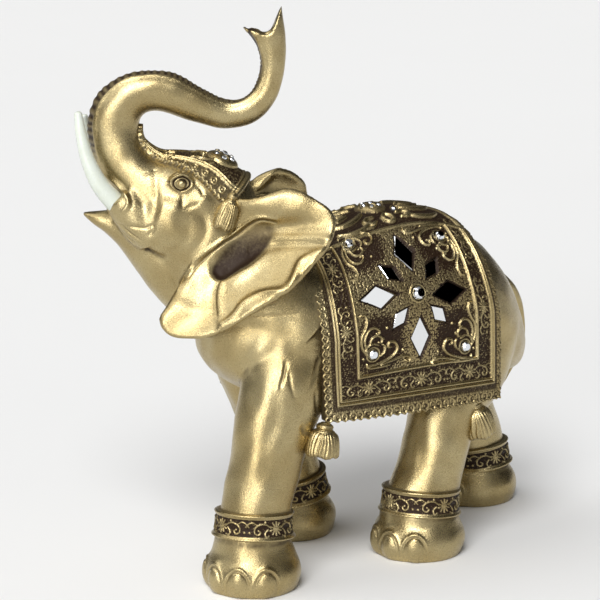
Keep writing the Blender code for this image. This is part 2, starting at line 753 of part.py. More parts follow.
def stone_seats():
    """Name, frame, width, height and sides of every stone."""
    seats = []
    flower = cloth_run(FLOWER_PLACE, FLOWER_HEIGHT)
    for side, hand in ((1, "left"), (-1, "right")):
        frame = cloth_seat(side, FLOWER_PLACE, flower)
        seats.append((f"stone_{hand}_centre", frame, CENTRE_STONE_WIDTH, CENTRE_STONE_HEIGHT, 8))
        for index, (x, height) in enumerate(CORNER_STONES):
            frame = cloth_seat(side, x, cloth_run(x, height))
            name = f"stone_{hand}_corner_{index + 1}"
            seats.append((name, frame, CORNER_STONE_WIDTH, CORNER_STONE_HEIGHT, 8))
        frame = cloth_seat(side, LONE_STONE[0], cloth_total(LONE_STONE[0]) / 2 - LONE_STONE[1])
        seats.append((f"stone_{hand}_back", frame, CLUSTER_STONE_WIDTH, CLUSTER_STONE_HEIGHT, 6))
    for name, centre in (("back", back_cluster_frame()), ("cap", cap_cluster_frame())):
        for index, (x, y) in enumerate([(0.0, 0.0), *turned(CLUSTER_SPACING, 6)]):
            frame = centre @ Matrix.Translation((x, y, 0.0 if index else 0.0006))
            if index:
                frame = frame @ Matrix.Rotation(CLUSTER_LEAN, 4, Vector((-y, x, 0.0)))
            seats.append((f"stone_{name}_{index + 1}", frame, CLUSTER_STONE_WIDTH, CLUSTER_STONE_HEIGHT, 6))
    return seats


def back_cluster_frame():
    frame = cloth_seat(1, CLUSTER_PLACE, cloth_total(CLUSTER_PLACE) / 2)
    return frame @ Matrix.Translation((0, 0, CLUSTER_RISE))


def cap_cluster_frame():
    place = head_surface(CAP_CLUSTER_STATION, 0.0, CAP_STAND / FIG)
    ahead = head_surface(CAP_CLUSTER_STATION + 0.2, 0.0, CAP_STAND / FIG)
    left = head_surface(CAP_CLUSTER_STATION, 0.2, CAP_STAND / FIG)
    normal = (ahead - place).cross(left - place)
    return settle(place * FIG, normal, ahead - place) @ Matrix.Translation((0, 0, CLUSTER_RISE))


def add_cups(bm):
    """Raised cups round the stones, and the bosses that carry the clusters."""
    for name, frame, width, height, sides in stone_seats():
        radius = width / 2 + CUP_WALL
        if sides == 8:
            rims = [(-0.003, turned(radius + 0.0006, 8, 0.5)), (CUP_HEIGHT, turned(radius, 8, 0.5))]
            stack(bm, frame, rims)
    for frame in (back_cluster_frame(), cap_cluster_frame()):
        reach = CLUSTER_SPACING + CLUSTER_STONE_WIDTH / 2
        layers = [(-CLUSTER_RISE - 0.003, turned(reach + 0.0014, 12)), (-0.0008, turned(reach + 0.0006, 12))]
        stack(bm, frame, [*layers, (0.0009, turned(reach * 0.52, 12))])


def add_sockets(bm):
    """The shapes cut out of the casting for the glued pieces."""
    for _, frame, (length, width) in mirror_seats():
        outline = diamond(length, width, GLUE_GAP)
        floor = -MIRROR_RECESS - MIRROR_THICKNESS - GLUE_GAP
        stack(bm, frame, [(floor, outline), (0.004, diamond(length, width, GLUE_GAP + 0.0004))])
    for _, frame, width, height, sides in stone_seats():
        outline = turned(width / 2 + GLUE_GAP, sides, 0.5)
        stack(bm, frame, [(-STONE_SEAT - GLUE_GAP, outline), (height, outline)])
    for side in (-1, 1):
        skin_rings(bm, tusk_rings(side, GLUE_GAP, 12))


def tusk_rings(side, grow, count):
    """Rings of a tusk in metres, from its seat in the sleeve to its blunt tip."""
    rings = []
    places = [step / 2 for step in range(2 * (len(TUSK) - 1) + 1)]
    for place in places:
        forward, up, share = row_at(TUSK, place)
        spread_out = row_at([(value,) for value in TUSK_SPREAD], place)[0]
        if side < 0:
            sag = (place / (len(TUSK) - 1)) ** 2
            forward, up = forward - FAR_TUSK_SAG[0] * sag, up - FAR_TUSK_SAG[1] * sag
        radius = TUSK_BASE_RADIUS * share + grow
        centre = head_point(forward, spread_out * side, up) * FIG
        ahead, behind = row_at(TUSK, place + 0.3), row_at(TUSK, place - 0.3)
        run = Vector((ahead[0] - behind[0], ahead[1] - behind[1])).normalized()
        across = (head_point(0, 1, 0) - head_point(0, 0, 0)).normalized()
        along = (head_point(-run.y, 0, run.x) - head_point(0, 0, 0)).normalized()
        rings.append(oval(centre, across * radius, along * radius, count))
    first = sum(rings[0], Vector()) / count
    start = (sum(rings[1], Vector()) / count - first).normalized()
    last = sum(rings[-1], Vector()) / count
    end = (last - sum(rings[-2], Vector()) / count).normalized()
    if grow:
        rings[0] = [point - start * grow for point in rings[0]]
    tip = [last + (point - last) * 0.5 + end * (TUSK_BASE_RADIUS * 0.28 + grow) for point in rings[-1]]
    return [*rings, tip]


def make_object(name, bm):
    mesh = bpy.data.meshes.new(name)
    bmesh.ops.recalc_face_normals(bm, faces=bm.faces)
    bm.to_mesh(mesh)
    bm.free()
    obj = bpy.data.objects.new(name, mesh)
    bpy.context.scene.collection.objects.link(obj)
    return obj


def dress(obj, colour, metallic, roughness, smooth=True):
    """The object's own material and shading."""
    material = bpy.data.materials.new(obj.name)
    material.use_nodes = True
    shader = material.node_tree.nodes["Principled BSDF"]
    shader.inputs["Base Color"].default_value = colour
    shader.inputs["Metallic"].default_value = metallic
    shader.inputs["Roughness"].default_value = roughness
    obj.data.materials.append(material)
    if smooth:
        obj.data.shade_smooth()


def helper(name, bm):
    """A closed solid that only cuts or joins."""
    obj = make_object(name, bm)
    obj.hide_render = True
    obj.display_type = "WIRE"
    return obj


def add_boolean(obj, other, operation):
    step = obj.modifiers.new(other.name, "BOOLEAN")
    step.operation = operation
    step.solver = "EXACT"
    step.use_self = operation == "UNION"
    step.object = other


def build_casting():
    bm = bmesh.new()
    add_torso(bm)
    add_head(bm)
    add_jaw(bm)
    add_face(bm)
    for side in (-1, 1):
        add_ear(bm, side)
    for name in LEGS:
        add_leg(bm, name)
    add_tail(bm)
    add_muscles(bm)
    add_tassels(bm)
    bm.transform(Matrix.Scale(FIG, 4))
    body = make_object("elephant_casting", bm)
    dress(body, GOLD, 0.9, 0.4)
    fuse = body.modifiers.new("Fuse", "REMESH")
    fuse.mode = "VOXEL"
    fuse.voxel_size = FUSE_CELL
    ease = body.modifiers.new("Ease", "SMOOTH")
    ease.factor = 0.5
    ease.iterations = 5
    fewer = body.modifiers.new("Fewer", "DECIMATE")
    fewer.ratio = BODY_DETAIL

    trims = bmesh.new()
    add_cloth(trims)
    add_cap(trims)
    for name in LEGS:
        add_anklet(trims, name)
    trims.transform(Matrix.Scale(FIG, 4))
    add_cups(trims)
    add_boolean(body, helper("ornament_shapes", trims), "UNION")

    cuts = bmesh.new()
    add_sockets(cuts)
    ground = Matrix.Translation((0.04, 0.0, -0.02)) @ Matrix.Diagonal((0.4, 0.3, 0.04, 1.0))
    bmesh.ops.create_cube(cuts, size=1.0, matrix=ground)
    add_boolean(body, helper("socket_shapes", cuts), "DIFFERENCE")
    return body


def build_tusks():
    for side, hand in ((1, "left"), (-1, "right")):
        bm = bmesh.new()
        skin_rings(bm, tusk_rings(side, 0.0, 10))
        dress(make_object(f"tusk_{hand}", bm), IVORY, 0.0, 0.35)


def build_mirrors():
    for name, frame, (length, width) in mirror_seats():
        bm = bmesh.new()
        floor = -MIRROR_RECESS - MIRROR_THICKNESS
        chamfer = 0.0003
        outline = diamond(length, width)
        layers = [(floor, outline), (-MIRROR_RECESS - chamfer, outline)]
        stack(bm, frame, [*layers, (-MIRROR_RECESS, diamond(length, width, -chamfer))])
        dress(make_object(name, bm), SILVER, 1.0, 0.03, smooth=False)


def build_stones():
    for name, frame, width, height, sides in stone_seats():
        bm = bmesh.new()
        radius = width / 2
        layers = [(-STONE_SEAT, turned(radius * 0.92, sides, 0.5))]
        layers.append((height * 0.15 - STONE_SEAT, turned(radius, sides, 0.5)))
        stack(bm, frame, [*layers, (height - STONE_SEAT, turned(radius * STONE_TABLE_SHARE, sides))])
        dress(make_object(name, bm), CRYSTAL, 0.0, 0.02, smooth=False)


def box_middle():
    """The middle of the finished pieces' box, on the floor."""
    graph = bpy.context.evaluated_depsgraph_get()
    shown = [obj.evaluated_get(graph) for obj in bpy.data.objects if not obj.hide_render]
    corners = [obj.matrix_world @ Vector(corner) for obj in shown for corner in obj.bound_box]
    middle = [(min(c[axis] for c in corners) + max(c[axis] for c in corners)) / 2 for axis in (0, 1)]
    return Vector((*middle, 0.0))


def main():
    clear_scene()
    build_casting()
    build_tusks()
    build_mirrors()
    build_stones()
    centre = box_middle()
    for obj in bpy.data.objects:
        obj.location = -centre


main()
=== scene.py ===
"""The looks of a gold resin elephant figurine with a jewelled saddle cloth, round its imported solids."""

import logging
import math
from contextlib import contextmanager
from dataclasses import dataclass, field
from enum import Enum
from typing import Iterator, Sequence

import bpy
import numpy as np
from mathutils import Euler, Matrix, Vector
from mathutils.bvhtree import BVHTree
from mathutils.kdtree import KDTree


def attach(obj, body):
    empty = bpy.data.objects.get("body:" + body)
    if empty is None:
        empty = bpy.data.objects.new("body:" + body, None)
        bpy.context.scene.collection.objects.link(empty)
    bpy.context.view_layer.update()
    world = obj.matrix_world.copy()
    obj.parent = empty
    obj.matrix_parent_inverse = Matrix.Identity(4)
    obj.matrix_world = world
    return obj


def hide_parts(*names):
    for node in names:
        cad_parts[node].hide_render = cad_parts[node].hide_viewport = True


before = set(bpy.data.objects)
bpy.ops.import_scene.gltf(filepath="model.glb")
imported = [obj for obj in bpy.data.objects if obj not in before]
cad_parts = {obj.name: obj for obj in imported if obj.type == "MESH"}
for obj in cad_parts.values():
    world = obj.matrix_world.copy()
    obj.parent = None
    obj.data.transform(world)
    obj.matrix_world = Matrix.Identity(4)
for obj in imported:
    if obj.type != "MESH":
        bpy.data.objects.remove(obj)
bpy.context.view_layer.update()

LOG = logging.getLogger("elephant")

Array = np.ndarray
Socket = bpy.types.NodeSocket
Piece = bpy.types.Object
Finish = bpy.types.Material

# The figure is drawn in millimetres; this place of the drawing is the origin of the frame
ORIGIN = np.array([30.160, 1.989, 0.0])
MM = 0.001
SEED = 20

# The camera: what it looks at, in drawn millimetres, how far it stands and how it is turned
TARGET = np.array([0.0, -14.3, 105.0])
DISTANCE = 972.9
AZIMUTH = math.radians(-36.0)
ELEVATION = math.radians(13.0)
FOCAL_PIXELS = 2600.0
PICTURE_PIXELS = 600.0
SENSOR_MM = 36.0

HEAD_TURN = math.radians(33.0)
NECK_PIVOT = np.array([-8.0, 0.0])

# Torso sections: x, top, underside, half width
TORSO = (
    (-32.2, 96.0, 87.0, 5.0),
    (-29.2, 103.0, 80.5, 13.0),
    (-22.0, 110.5, 74.0, 22.5),
    (-10.0, 117.5, 67.0, 30.0),
    (4.0, 120.4, 65.0, 33.5),
    (20.0, 125.6, 64.0, 35.0),
    (40.0, 130.0, 63.5, 36.0),
    (58.0, 130.4, 63.5, 36.0),
    (74.0, 126.6, 63.5, 34.8),
    (88.0, 118.0, 62.0, 31.6),
    (98.5, 108.0, 60.0, 25.8),
    (105.8, 97.2, 59.5, 20.2),
    (111.8, 88.0, 60.0, 14.0),
    (115.4, 79.0, 64.0, 5.4),
)
# Neck, head and trunk in the head's plane: forward, up, crown side, throat side, half width
HEAD = (
    (-14.0, 92.0, 25.0, 24.0, 28.0),
    (-4.0, 103.0, 25.0, 26.0, 26.0),
    (6.0, 113.0, 24.0, 25.0, 23.0),
    (15.0, 122.5, 22.5, 24.0, 20.5),
    (23.0, 131.0, 26.0, 21.5, 20.0),
    (31.0, 138.5, 24.0, 17.5, 19.0),
    (39.0, 145.0, 18.5, 14.0, 16.5),
    (46.0, 152.0, 11.7, 11.7, 13.0),
    (51.5, 160.5, 8.8, 10.6, 10.2),
    (53.6, 169.0, 9.0, 10.2, 9.3),
    (52.5, 176.5, 9.0, 9.6, 8.9),
    (47.5, 182.2, 8.8, 7.7, 8.3),
    (41.0, 184.0, 8.6, 6.9, 7.9),
    (34.5, 183.3, 8.2, 7.0, 7.5),
    (28.0, 180.7, 7.4, 6.6, 6.9),
    (21.0, 177.2, 6.6, 5.8, 6.1),
    (13.0, 174.8, 5.9, 5.2, 5.5),
    (5.5, 175.6, 5.4, 4.8, 5.1),
    (0.2, 179.4, 5.0, 4.6, 4.8),
    (-3.3, 185.0, 4.6, 4.6, 4.7),
    (-4.8, 191.5, 4.6, 4.6, 4.7),
    (-4.6, 197.5, 5.1, 5.0, 4.9),
    (-3.6, 203.0, 6.2, 6.4, 5.3),
)
# Lower jaw: forward, up, half height, half width
JAW = (
    (22.0, 113.5, 22.5, 12.5),
    (30.0, 117.2, 21.8, 13.2),
    (38.0, 122.6, 18.6, 13.0),
    (46.0, 127.4, 12.6, 11.2),
    (52.5, 131.8, 7.3, 8.6),
    (58.5, 134.3, 3.9, 5.8),
    (63.5, 136.3, 1.8, 3.4),
    (66.3, 137.4, 0.7, 1.6),
)
# Tusk: forward, up, share of the base radius, out
TUSK = (
    (48.0, 136.8, 1.0, 11.5),
    (53.0, 142.6, 1.0, 11.5),
    (59.4, 150.3, 0.88, 11.3),
    (63.7, 159.6, 0.70, 10.6),
    (66.0, 168.9, 0.54, 9.2),
    (66.9, 175.6, 0.40, 7.4),
)
# How far back and down the far tusk's tip sits
FAR_TUSK_SAG = (1.6, 3.2)
TUSK_RADIUS = 3.8
SLEEVE = ((38.0, 131.0, 9.0), (44.0, 136.0, 8.6), (49.0, 141.5, 7.6), (52.5, 145.8, 6.6))
SLEEVE_SPREAD = 9.8
# Ear rim and root in the head's frame: forward, out, up; the rim also has the ear's bulge
EAR_RIM = (
    (9.4, 17.0, 146.2, 0.0),
    (0.0, 18.0, 144.6, 2.5),
    (-10.9, 20.0, 149.2, 4.0),
    (-23.5, 24.0, 143.8, 2.5),
    (-26.5, 27.0, 136.5, -2.0),
    (-22.7, 32.0, 129.1, -4.0),
    (-10.4, 37.0, 116.7, -5.0),
    (3.4, 38.0, 107.7, -4.0),
    (18.6, 35.0, 98.3, -1.5),
    (32.4, 31.0, 96.7, 2.0),
    (37.9, 29.0, 101.2, 2.0),
    (35.6, 27.0, 104.9, 0.5),
    (30.8, 21.0, 112.0, 0.0),
)
EAR_ROOT = (
    (13.0, 15.0, 146.0),
    (11.0, 15.0, 140.0),
    (17.0, 16.0, 132.6),
    (23.0, 16.5, 125.1),
    (26.0, 17.0, 118.0),
    (29.5, 16.0, 111.5),
)
FAR_EAR_SWING = math.radians(24.0)
# The far ear sits lower at its front end, and its rear edge reaches less far
FAR_EAR_DROP = 5.0
FAR_EAR_DROP_END = 0.17
FAR_EAR_NARROWING = 0.11
FAR_EAR_NARROWEST = 0.3
FAR_EAR_NARROW_SPAN = 0.1
EAR_THICKNESS = 3.0
# Legs from the body down to the ankle: x, y, z, half length, half width
LEGS = {
    "front_left": (
        (0.0, -15.0, 92.0, 19.0, 15.0),
        (-9.4, -18.4, 75.0, 17.6, 15.2),
        (-16.0, -19.5, 60.0, 15.5, 13.8),
        (-20.0, -20.0, 46.0, 13.8, 13.0),
        (-24.0, -20.0, 32.0, 13.2, 13.0),
        (-26.0, -20.0, 20.0, 13.8, 13.8),
    ),
    "front_right": (
        (-2.0, 15.0, 92.0, 19.0, 15.0),
        (4.0, 19.0, 75.0, 18.0, 15.0),
        (11.5, 23.0, 58.0, 15.0, 13.6),
        (17.0, 25.0, 44.0, 13.6, 13.0),
        (21.5, 26.0, 30.0, 13.2, 13.0),
        (24.5, 26.0, 18.0, 13.8, 13.8),
    ),
    "rear_left": (
        (82.0, -14.0, 86.0, 23.0, 18.0),
        (74.0, -19.0, 69.0, 20.0, 16.5),
        (63.2, -22.5, 54.0, 14.0, 13.8),
        (58.2, -24.0, 41.0, 12.9, 13.0),
        (54.4, -24.0, 29.0, 13.2, 13.2),
        (50.0, -24.0, 18.0, 14.4, 14.0),
    ),
    "rear_right": (
        (86.0, 14.0, 86.0, 23.0, 18.0),
        (92.0, 17.0, 69.0, 19.0, 16.5),
        (98.2, 18.0, 53.0, 14.6, 13.8),
        (104.4, 18.0, 41.0, 13.6, 13.0),
        (109.8, 18.0, 29.0, 13.4, 13.0),
        (112.5, 18.0, 18.0, 13.8, 13.8),
    ),
}
FOOT = ((13.0, 16.0), (9.0, 17.8), (5.0, 18.2), (1.5, 17.2), (-2.5, 15.5))
TOES = {
    "front_left": (-72.0, -36.0, 0.0, 36.0),
    "front_right": (72.0, 36.0, 0.0, -36.0),
    "rear_left": (-47.0, -12.0, 23.0),
    "rear_right": (47.0, 12.0, -23.0),
}
TAIL = (
    (108.0, 97.0, 4.0),
    (115.5, 90.0, 3.2),
    (120.3, 80.0, 2.4),
    (121.0, 69.0, 2.2),
    (116.0, 60.0, 2.6),
    (110.5, 53.0, 3.0),
    (107.0, 49.5, 1.4),
)


def smooth(value: Array) -> Array:
    """A smooth rise from 0 to 1 as the value goes from 0 to 1."""
    share = np.clip(value, 0.0, 1.0)
    return share * share * (3.0 - 2.0 * share)


def bell(value: Array, width: float) -> Array:
    """A bell curve, 1 at zero and about a third at the width."""
    return np.exp(-((value / width) ** 2))


def to_metres(points: Array) -> Array:
    """Drawn millimetres in the frame's metres."""
    return (np.asarray(points, float) - ORIGIN) * MM


def to_drawn(points: Array) -> Array:
    """The frame's metres in drawn millimetres."""
    return np.asarray(points, float) / MM + ORIGIN


def rows_at(rows: Sequence, places: Array) -> Array:
    """Values at fractional indices of a table, smooth through all its rows.

    Args:
        rows: the table.
        places: fractional indices, of any shape.

    Returns:
        One row of values for each place.
    """
    table = np.asarray(rows, float)
    last = len(table) - 1
    places = np.clip(np.asarray(places, float), 0.0, last)
    start = np.minimum(places.astype(int), last - 1)
    share = (places - start)[..., None]
    before, begin, end, after = (table[np.clip(start + step, 0, last)] for step in (-1, 0, 1, 2))
    bend = (2 * before - 5 * begin + 4 * end - after) * share**2
    twist = (3 * begin - before - 3 * end + after) * share**3
    return 0.5 * (2 * begin + (end - before) * share + bend + twist)


def curve_through(controls: Sequence, steps: int = 6) -> Array:
    """A smooth path through control points, steps of it to each gap."""
    return rows_at(controls, np.linspace(0, len(controls) - 1, (len(controls) - 1) * steps + 1))


def path_lengths(points: Array) -> Array:
    """How far along a path each of its points lies."""
    return np.concatenate(([0.0], np.cumsum(np.linalg.norm(np.diff(points, axis=0), axis=1))))


def search_tree(points: Array) -> KDTree:
    """A tree that finds the nearest of some points."""
    tree = KDTree(len(points))
    for index, place in enumerate(points):
        tree.insert(place, index)
    tree.balance()
    return tree


def laid_on(tree: BVHTree, points: Array) -> tuple[Array, Array]:
    """Drawn points brought onto a skin, and the skin's directions there."""
    found = [tree.find_nearest(Vector(place)) for place in to_metres(points)]
    return to_drawn([hit[0] for hit in found]), np.array([hit[1] for hit in found])


def head_point(forward: Array, out: Array, up: Array) -> Array:
    """Points of the head's frame in the drawing. Out is towards the left ear."""
    forward, out, up = np.broadcast_arrays(forward, out, up)
    x = NECK_PIVOT[0] - math.cos(HEAD_TURN) * forward - math.sin(HEAD_TURN) * out
    y = NECK_PIVOT[1] + math.sin(HEAD_TURN) * forward - math.cos(HEAD_TURN) * out
    return np.stack((x, y, up), -1)


def head_coordinates(points: Array) -> Array:
    """Forward, out and up of drawn points."""
    x, y = points[..., 0] - NECK_PIVOT[0], points[..., 1] - NECK_PIVOT[1]
    forward = -math.cos(HEAD_TURN) * x + math.sin(HEAD_TURN) * y
    out = -math.sin(HEAD_TURN) * x - math.cos(HEAD_TURN) * y
    return np.stack((forward, out, points[..., 2]), -1)


def torso_surface(x: Array, angle: Array, grow: float = 0.0) -> Array:
    """Points of the torso's skin at stations along it, round from the right side over the back."""
    dense = np.linspace(0, len(TORSO) - 1, 1400)
    places = np.interp(x, rows_at(TORSO, dense)[:, 0], dense)
    _, top, under, half = np.moveaxis(rows_at(TORSO, places), -1, 0)
    c, s = np.cos(angle), np.sin(angle)
    c = np.copysign(np.abs(c) ** 0.86, c)
    s = np.copysign(np.abs(s) ** 0.94, s)
    y = (half + grow) * (1 - 0.10 * s) * c
    z = (top + under) / 2 + ((top - under) / 2 + grow) * s
    return np.stack(np.broadcast_arrays(x, y, z), -1)


def head_surface(place: Array, angle: Array, lift: Array = 0.0) -> Array:
    """Points of the neck, head and trunk at stations, round from the crown towards the left."""
    place, angle, lift = np.broadcast_arrays(np.asarray(place, float), angle, lift)
    row = rows_at(HEAD, place)
    run = rows_at(HEAD, place + 0.3)[..., :2] - rows_at(HEAD, place - 0.3)[..., :2]
    run /= np.linalg.norm(run, axis=-1, keepdims=True)
    reach = (np.where(np.cos(angle) > 0, row[..., 2], row[..., 3]) + lift) * np.cos(angle)
    forward = row[..., 0] - run[..., 1] * reach
    up = row[..., 1] + run[..., 0] * reach
    return head_point(forward, (row[..., 4] + lift) * np.sin(angle), up)


def leg_rows(name: str) -> tuple:
    """The stations of a leg and its foot."""
    x, y = LEGS[name][-1][:2]
    return (*LEGS[name], *((x, y, z, r, r) for z, r in FOOT))


def leg_surface(name: str, place: float, angle: Array, grow: Array, slide: Array, level: float) -> Array:
    """Points round a leg, square to it and partly levelled.

    Args:
        name: the leg.
        place: the station on it.
        angle: the way round.
        grow: how far the points stand off the leg.
        slide: how far down the leg from the station.
        level: how far the ring turns from square to level.

    Returns:
        The points.
    """
    rows = leg_rows(name)
    x, y, z, half_length, half_width = rows_at(rows, place)
    run = (rows_at(rows, place + 0.2) - rows_at(rows, place - 0.2))[:3]
    run /= np.linalg.norm(run)
    run = run * (1 - level) + np.array([0.0, 0.0, -1.0]) * level
    run /= np.linalg.norm(run)
    across = np.array([0.0, 1.0, 0.0]) - run * run[1]
    across /= np.linalg.norm(across)
    along = np.cross(run, across)
    angle, grow, slide = (np.asarray(part)[..., None] for part in np.broadcast_arrays(angle, grow, slide))
    centre = np.array([x, y, z]) + run * slide
    sideways = across * (half_width + grow) * np.cos(angle)
    return centre + sideways + along * (half_length + grow) * np.sin(angle)


def camera_axes() -> tuple[Array, Array, Array]:
    """The camera's right, up and backward directions."""
    back = np.array(
        [
            math.sin(AZIMUTH) * math.cos(ELEVATION),
            -math.cos(AZIMUTH) * math.cos(ELEVATION),
            math.sin(ELEVATION),
        ]
    )
    right = np.array([math.cos(AZIMUTH), math.sin(AZIMUTH), 0.0])
    return right, np.cross(back, right), back


def deselect() -> None:
    """Leaves object mode with nothing selected."""
    if bpy.context.mode != "OBJECT":
        bpy.ops.object.mode_set(mode="OBJECT")
    bpy.ops.object.select_all(action="DESELECT")


def pick(*objects: Piece) -> Piece:
    """Selects the objects and nothing else, and makes the first active."""
    deselect()
    for obj in objects:
        obj.select_set(True)
    bpy.context.view_layer.objects.active = objects[0]
    return objects[0]


@contextmanager
def editing(obj: Piece) -> Iterator[None]:
    """Edit mode with everything selected, for the length of a with block."""
    pick(obj)
    bpy.ops.object.mode_set(mode="EDIT")
    bpy.ops.mesh.select_all(action="SELECT")
    yield
    bpy.ops.object.mode_set(mode="OBJECT")


def get_points(obj: Piece) -> Array:
    """The mesh's vertices in drawn millimetres."""
    flat = np.empty(len(obj.data.vertices) * 3, np.float32)
    obj.data.vertices.foreach_get("co", flat)
    return to_drawn(flat.reshape(-1, 3))


def set_points(obj: Piece, points: Array) -> None:
    """Moves the mesh's vertices to drawn points."""
    obj.data.vertices.foreach_set("co", to_metres(points).astype(np.float32).ravel())
    obj.data.update()


def get_normals(obj: Piece) -> Array:
    """The vertices' outward directions."""
    flat = np.empty(len(obj.data.vertices) * 3, np.float32)
    obj.data.vertices.foreach_get("normal", flat)
    return flat.reshape(-1, 3).astype(float)


def set_wash_and_shade(obj: Piece, wash_and_shade: Array) -> None:
    """Stores how dark each vertex is painted; on the gold, antiquing and painted shade."""
    layer = obj.data.attributes.new("wash_and_shade", "FLOAT", "POINT")
    layer.data.foreach_set("value", np.clip(wash_and_shade, 0.0, 1.0).astype(np.float32).ravel())


def sheet(name: str, points: Array, wash_and_shade: Array, ring: bool = False, loop: bool = False) -> Piece:
    """A grid laid through rows of points, closed on itself where asked, with filled ends.

    Args:
        name: the object's name.
        points: drawn points, rows by columns.
        wash_and_shade: how dark each point is painted; on the gold, antiquing and painted shade.
        ring: the columns close on themselves.
        loop: the rows close on themselves.

    Returns:
        The mesh object.
    """
    if ring:
        points, wash_and_shade = (np.concatenate((part, part[:, :1]), 1) for part in (points, wash_and_shade))
    if loop:
        points, wash_and_shade = (np.concatenate((part, part[:1]), 0) for part in (points, wash_and_shade))
    rows, columns = points.shape[:2]
    deselect()
    bpy.ops.mesh.primitive_grid_add(x_subdivisions=columns - 1, y_subdivisions=rows - 1, size=0.1)
    obj = bpy.context.object
    obj.name = obj.data.name = name
    set_points(obj, points.reshape(-1, 3))
    set_wash_and_shade(obj, wash_and_shade)
    with editing(obj):
        bpy.ops.mesh.remove_doubles(threshold=1e-7)
        if ring and not loop:
            bpy.ops.mesh.fill_holes(sides=0)
        bpy.ops.mesh.select_all(action="SELECT")
        bpy.ops.mesh.normals_make_consistent(inside=False)
    while obj.data.uv_layers:
        obj.data.uv_layers.remove(obj.data.uv_layers[0])
    return obj


def tube(name: str, rings: Sequence) -> Piece:
    """A closed tube through rings of points."""
    rings = np.asarray(rings, float)
    return sheet(name, rings, np.zeros(rings.shape[:2]), ring=True)


def ball(centre: Array, radii: Sequence[float], turn: float = 0.0) -> Piece:
    """An ellipsoid of the flesh, turned about the vertical."""
    deselect()
    bpy.ops.mesh.primitive_ico_sphere_add(
        subdivisions=5,
        radius=1.0,
        location=to_metres(centre),
        rotation=Euler((0.0, 0.0, turn)),
        scale=[radius * MM for radius in radii],
    )
    bpy.ops.object.transform_apply(location=True, rotation=True, scale=True)
    return bpy.context.object


def apply_modifier(obj: Piece, kind: str, **settings: object) -> None:
    """Adds a modifier with the settings given and applies it."""
    pick(obj)
    step = obj.modifiers.new(kind.title(), kind)
    for key, value in settings.items():
        setattr(step, key, value)
    bpy.ops.object.modifier_apply(modifier=step.name)


def triangle_count(obj: Piece) -> int:
    """The triangles that the mesh's faces come to."""
    return sum(len(face.vertices) - 2 for face in obj.data.polygons)


def finish_piece(obj: Piece, material: Finish, nodes: Sequence[str]) -> None:
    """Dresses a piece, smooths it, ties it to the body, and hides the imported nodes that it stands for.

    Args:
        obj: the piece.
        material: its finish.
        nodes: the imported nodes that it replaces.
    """
    obj.data.materials.clear()
    obj.data.materials.append(material)
    obj.data.shade_smooth()
    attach(obj, "root")
    if nodes:
        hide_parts(*nodes)
    LOG.info("%s: %d triangles", obj.name, triangle_count(obj))


def nearest_on_path(points: Array, path: Array) -> tuple[Array, Array, Array]:
    """Distance from each point to a path.

    Args:
        points: points, one to a row.
        path: the path's points.

    Returns:
        The distances, the shares of the path where they fall, and the indices of the nearest segments.
    """
    starts, steps = path[:-1], np.diff(path, axis=0)
    long = np.maximum((steps**2).sum(1), 1e-12)
    offset = points[:, None, :] - starts[None]
    share = np.clip((offset * steps).sum(2) / long, 0.0, 1.0)
    gaps = np.linalg.norm(offset - share[..., None] * steps, axis=2)
    best = gaps.argmin(1)
    rows = np.arange(len(points))
    return gaps[rows, best], (best + share[rows, best]) / len(steps), best


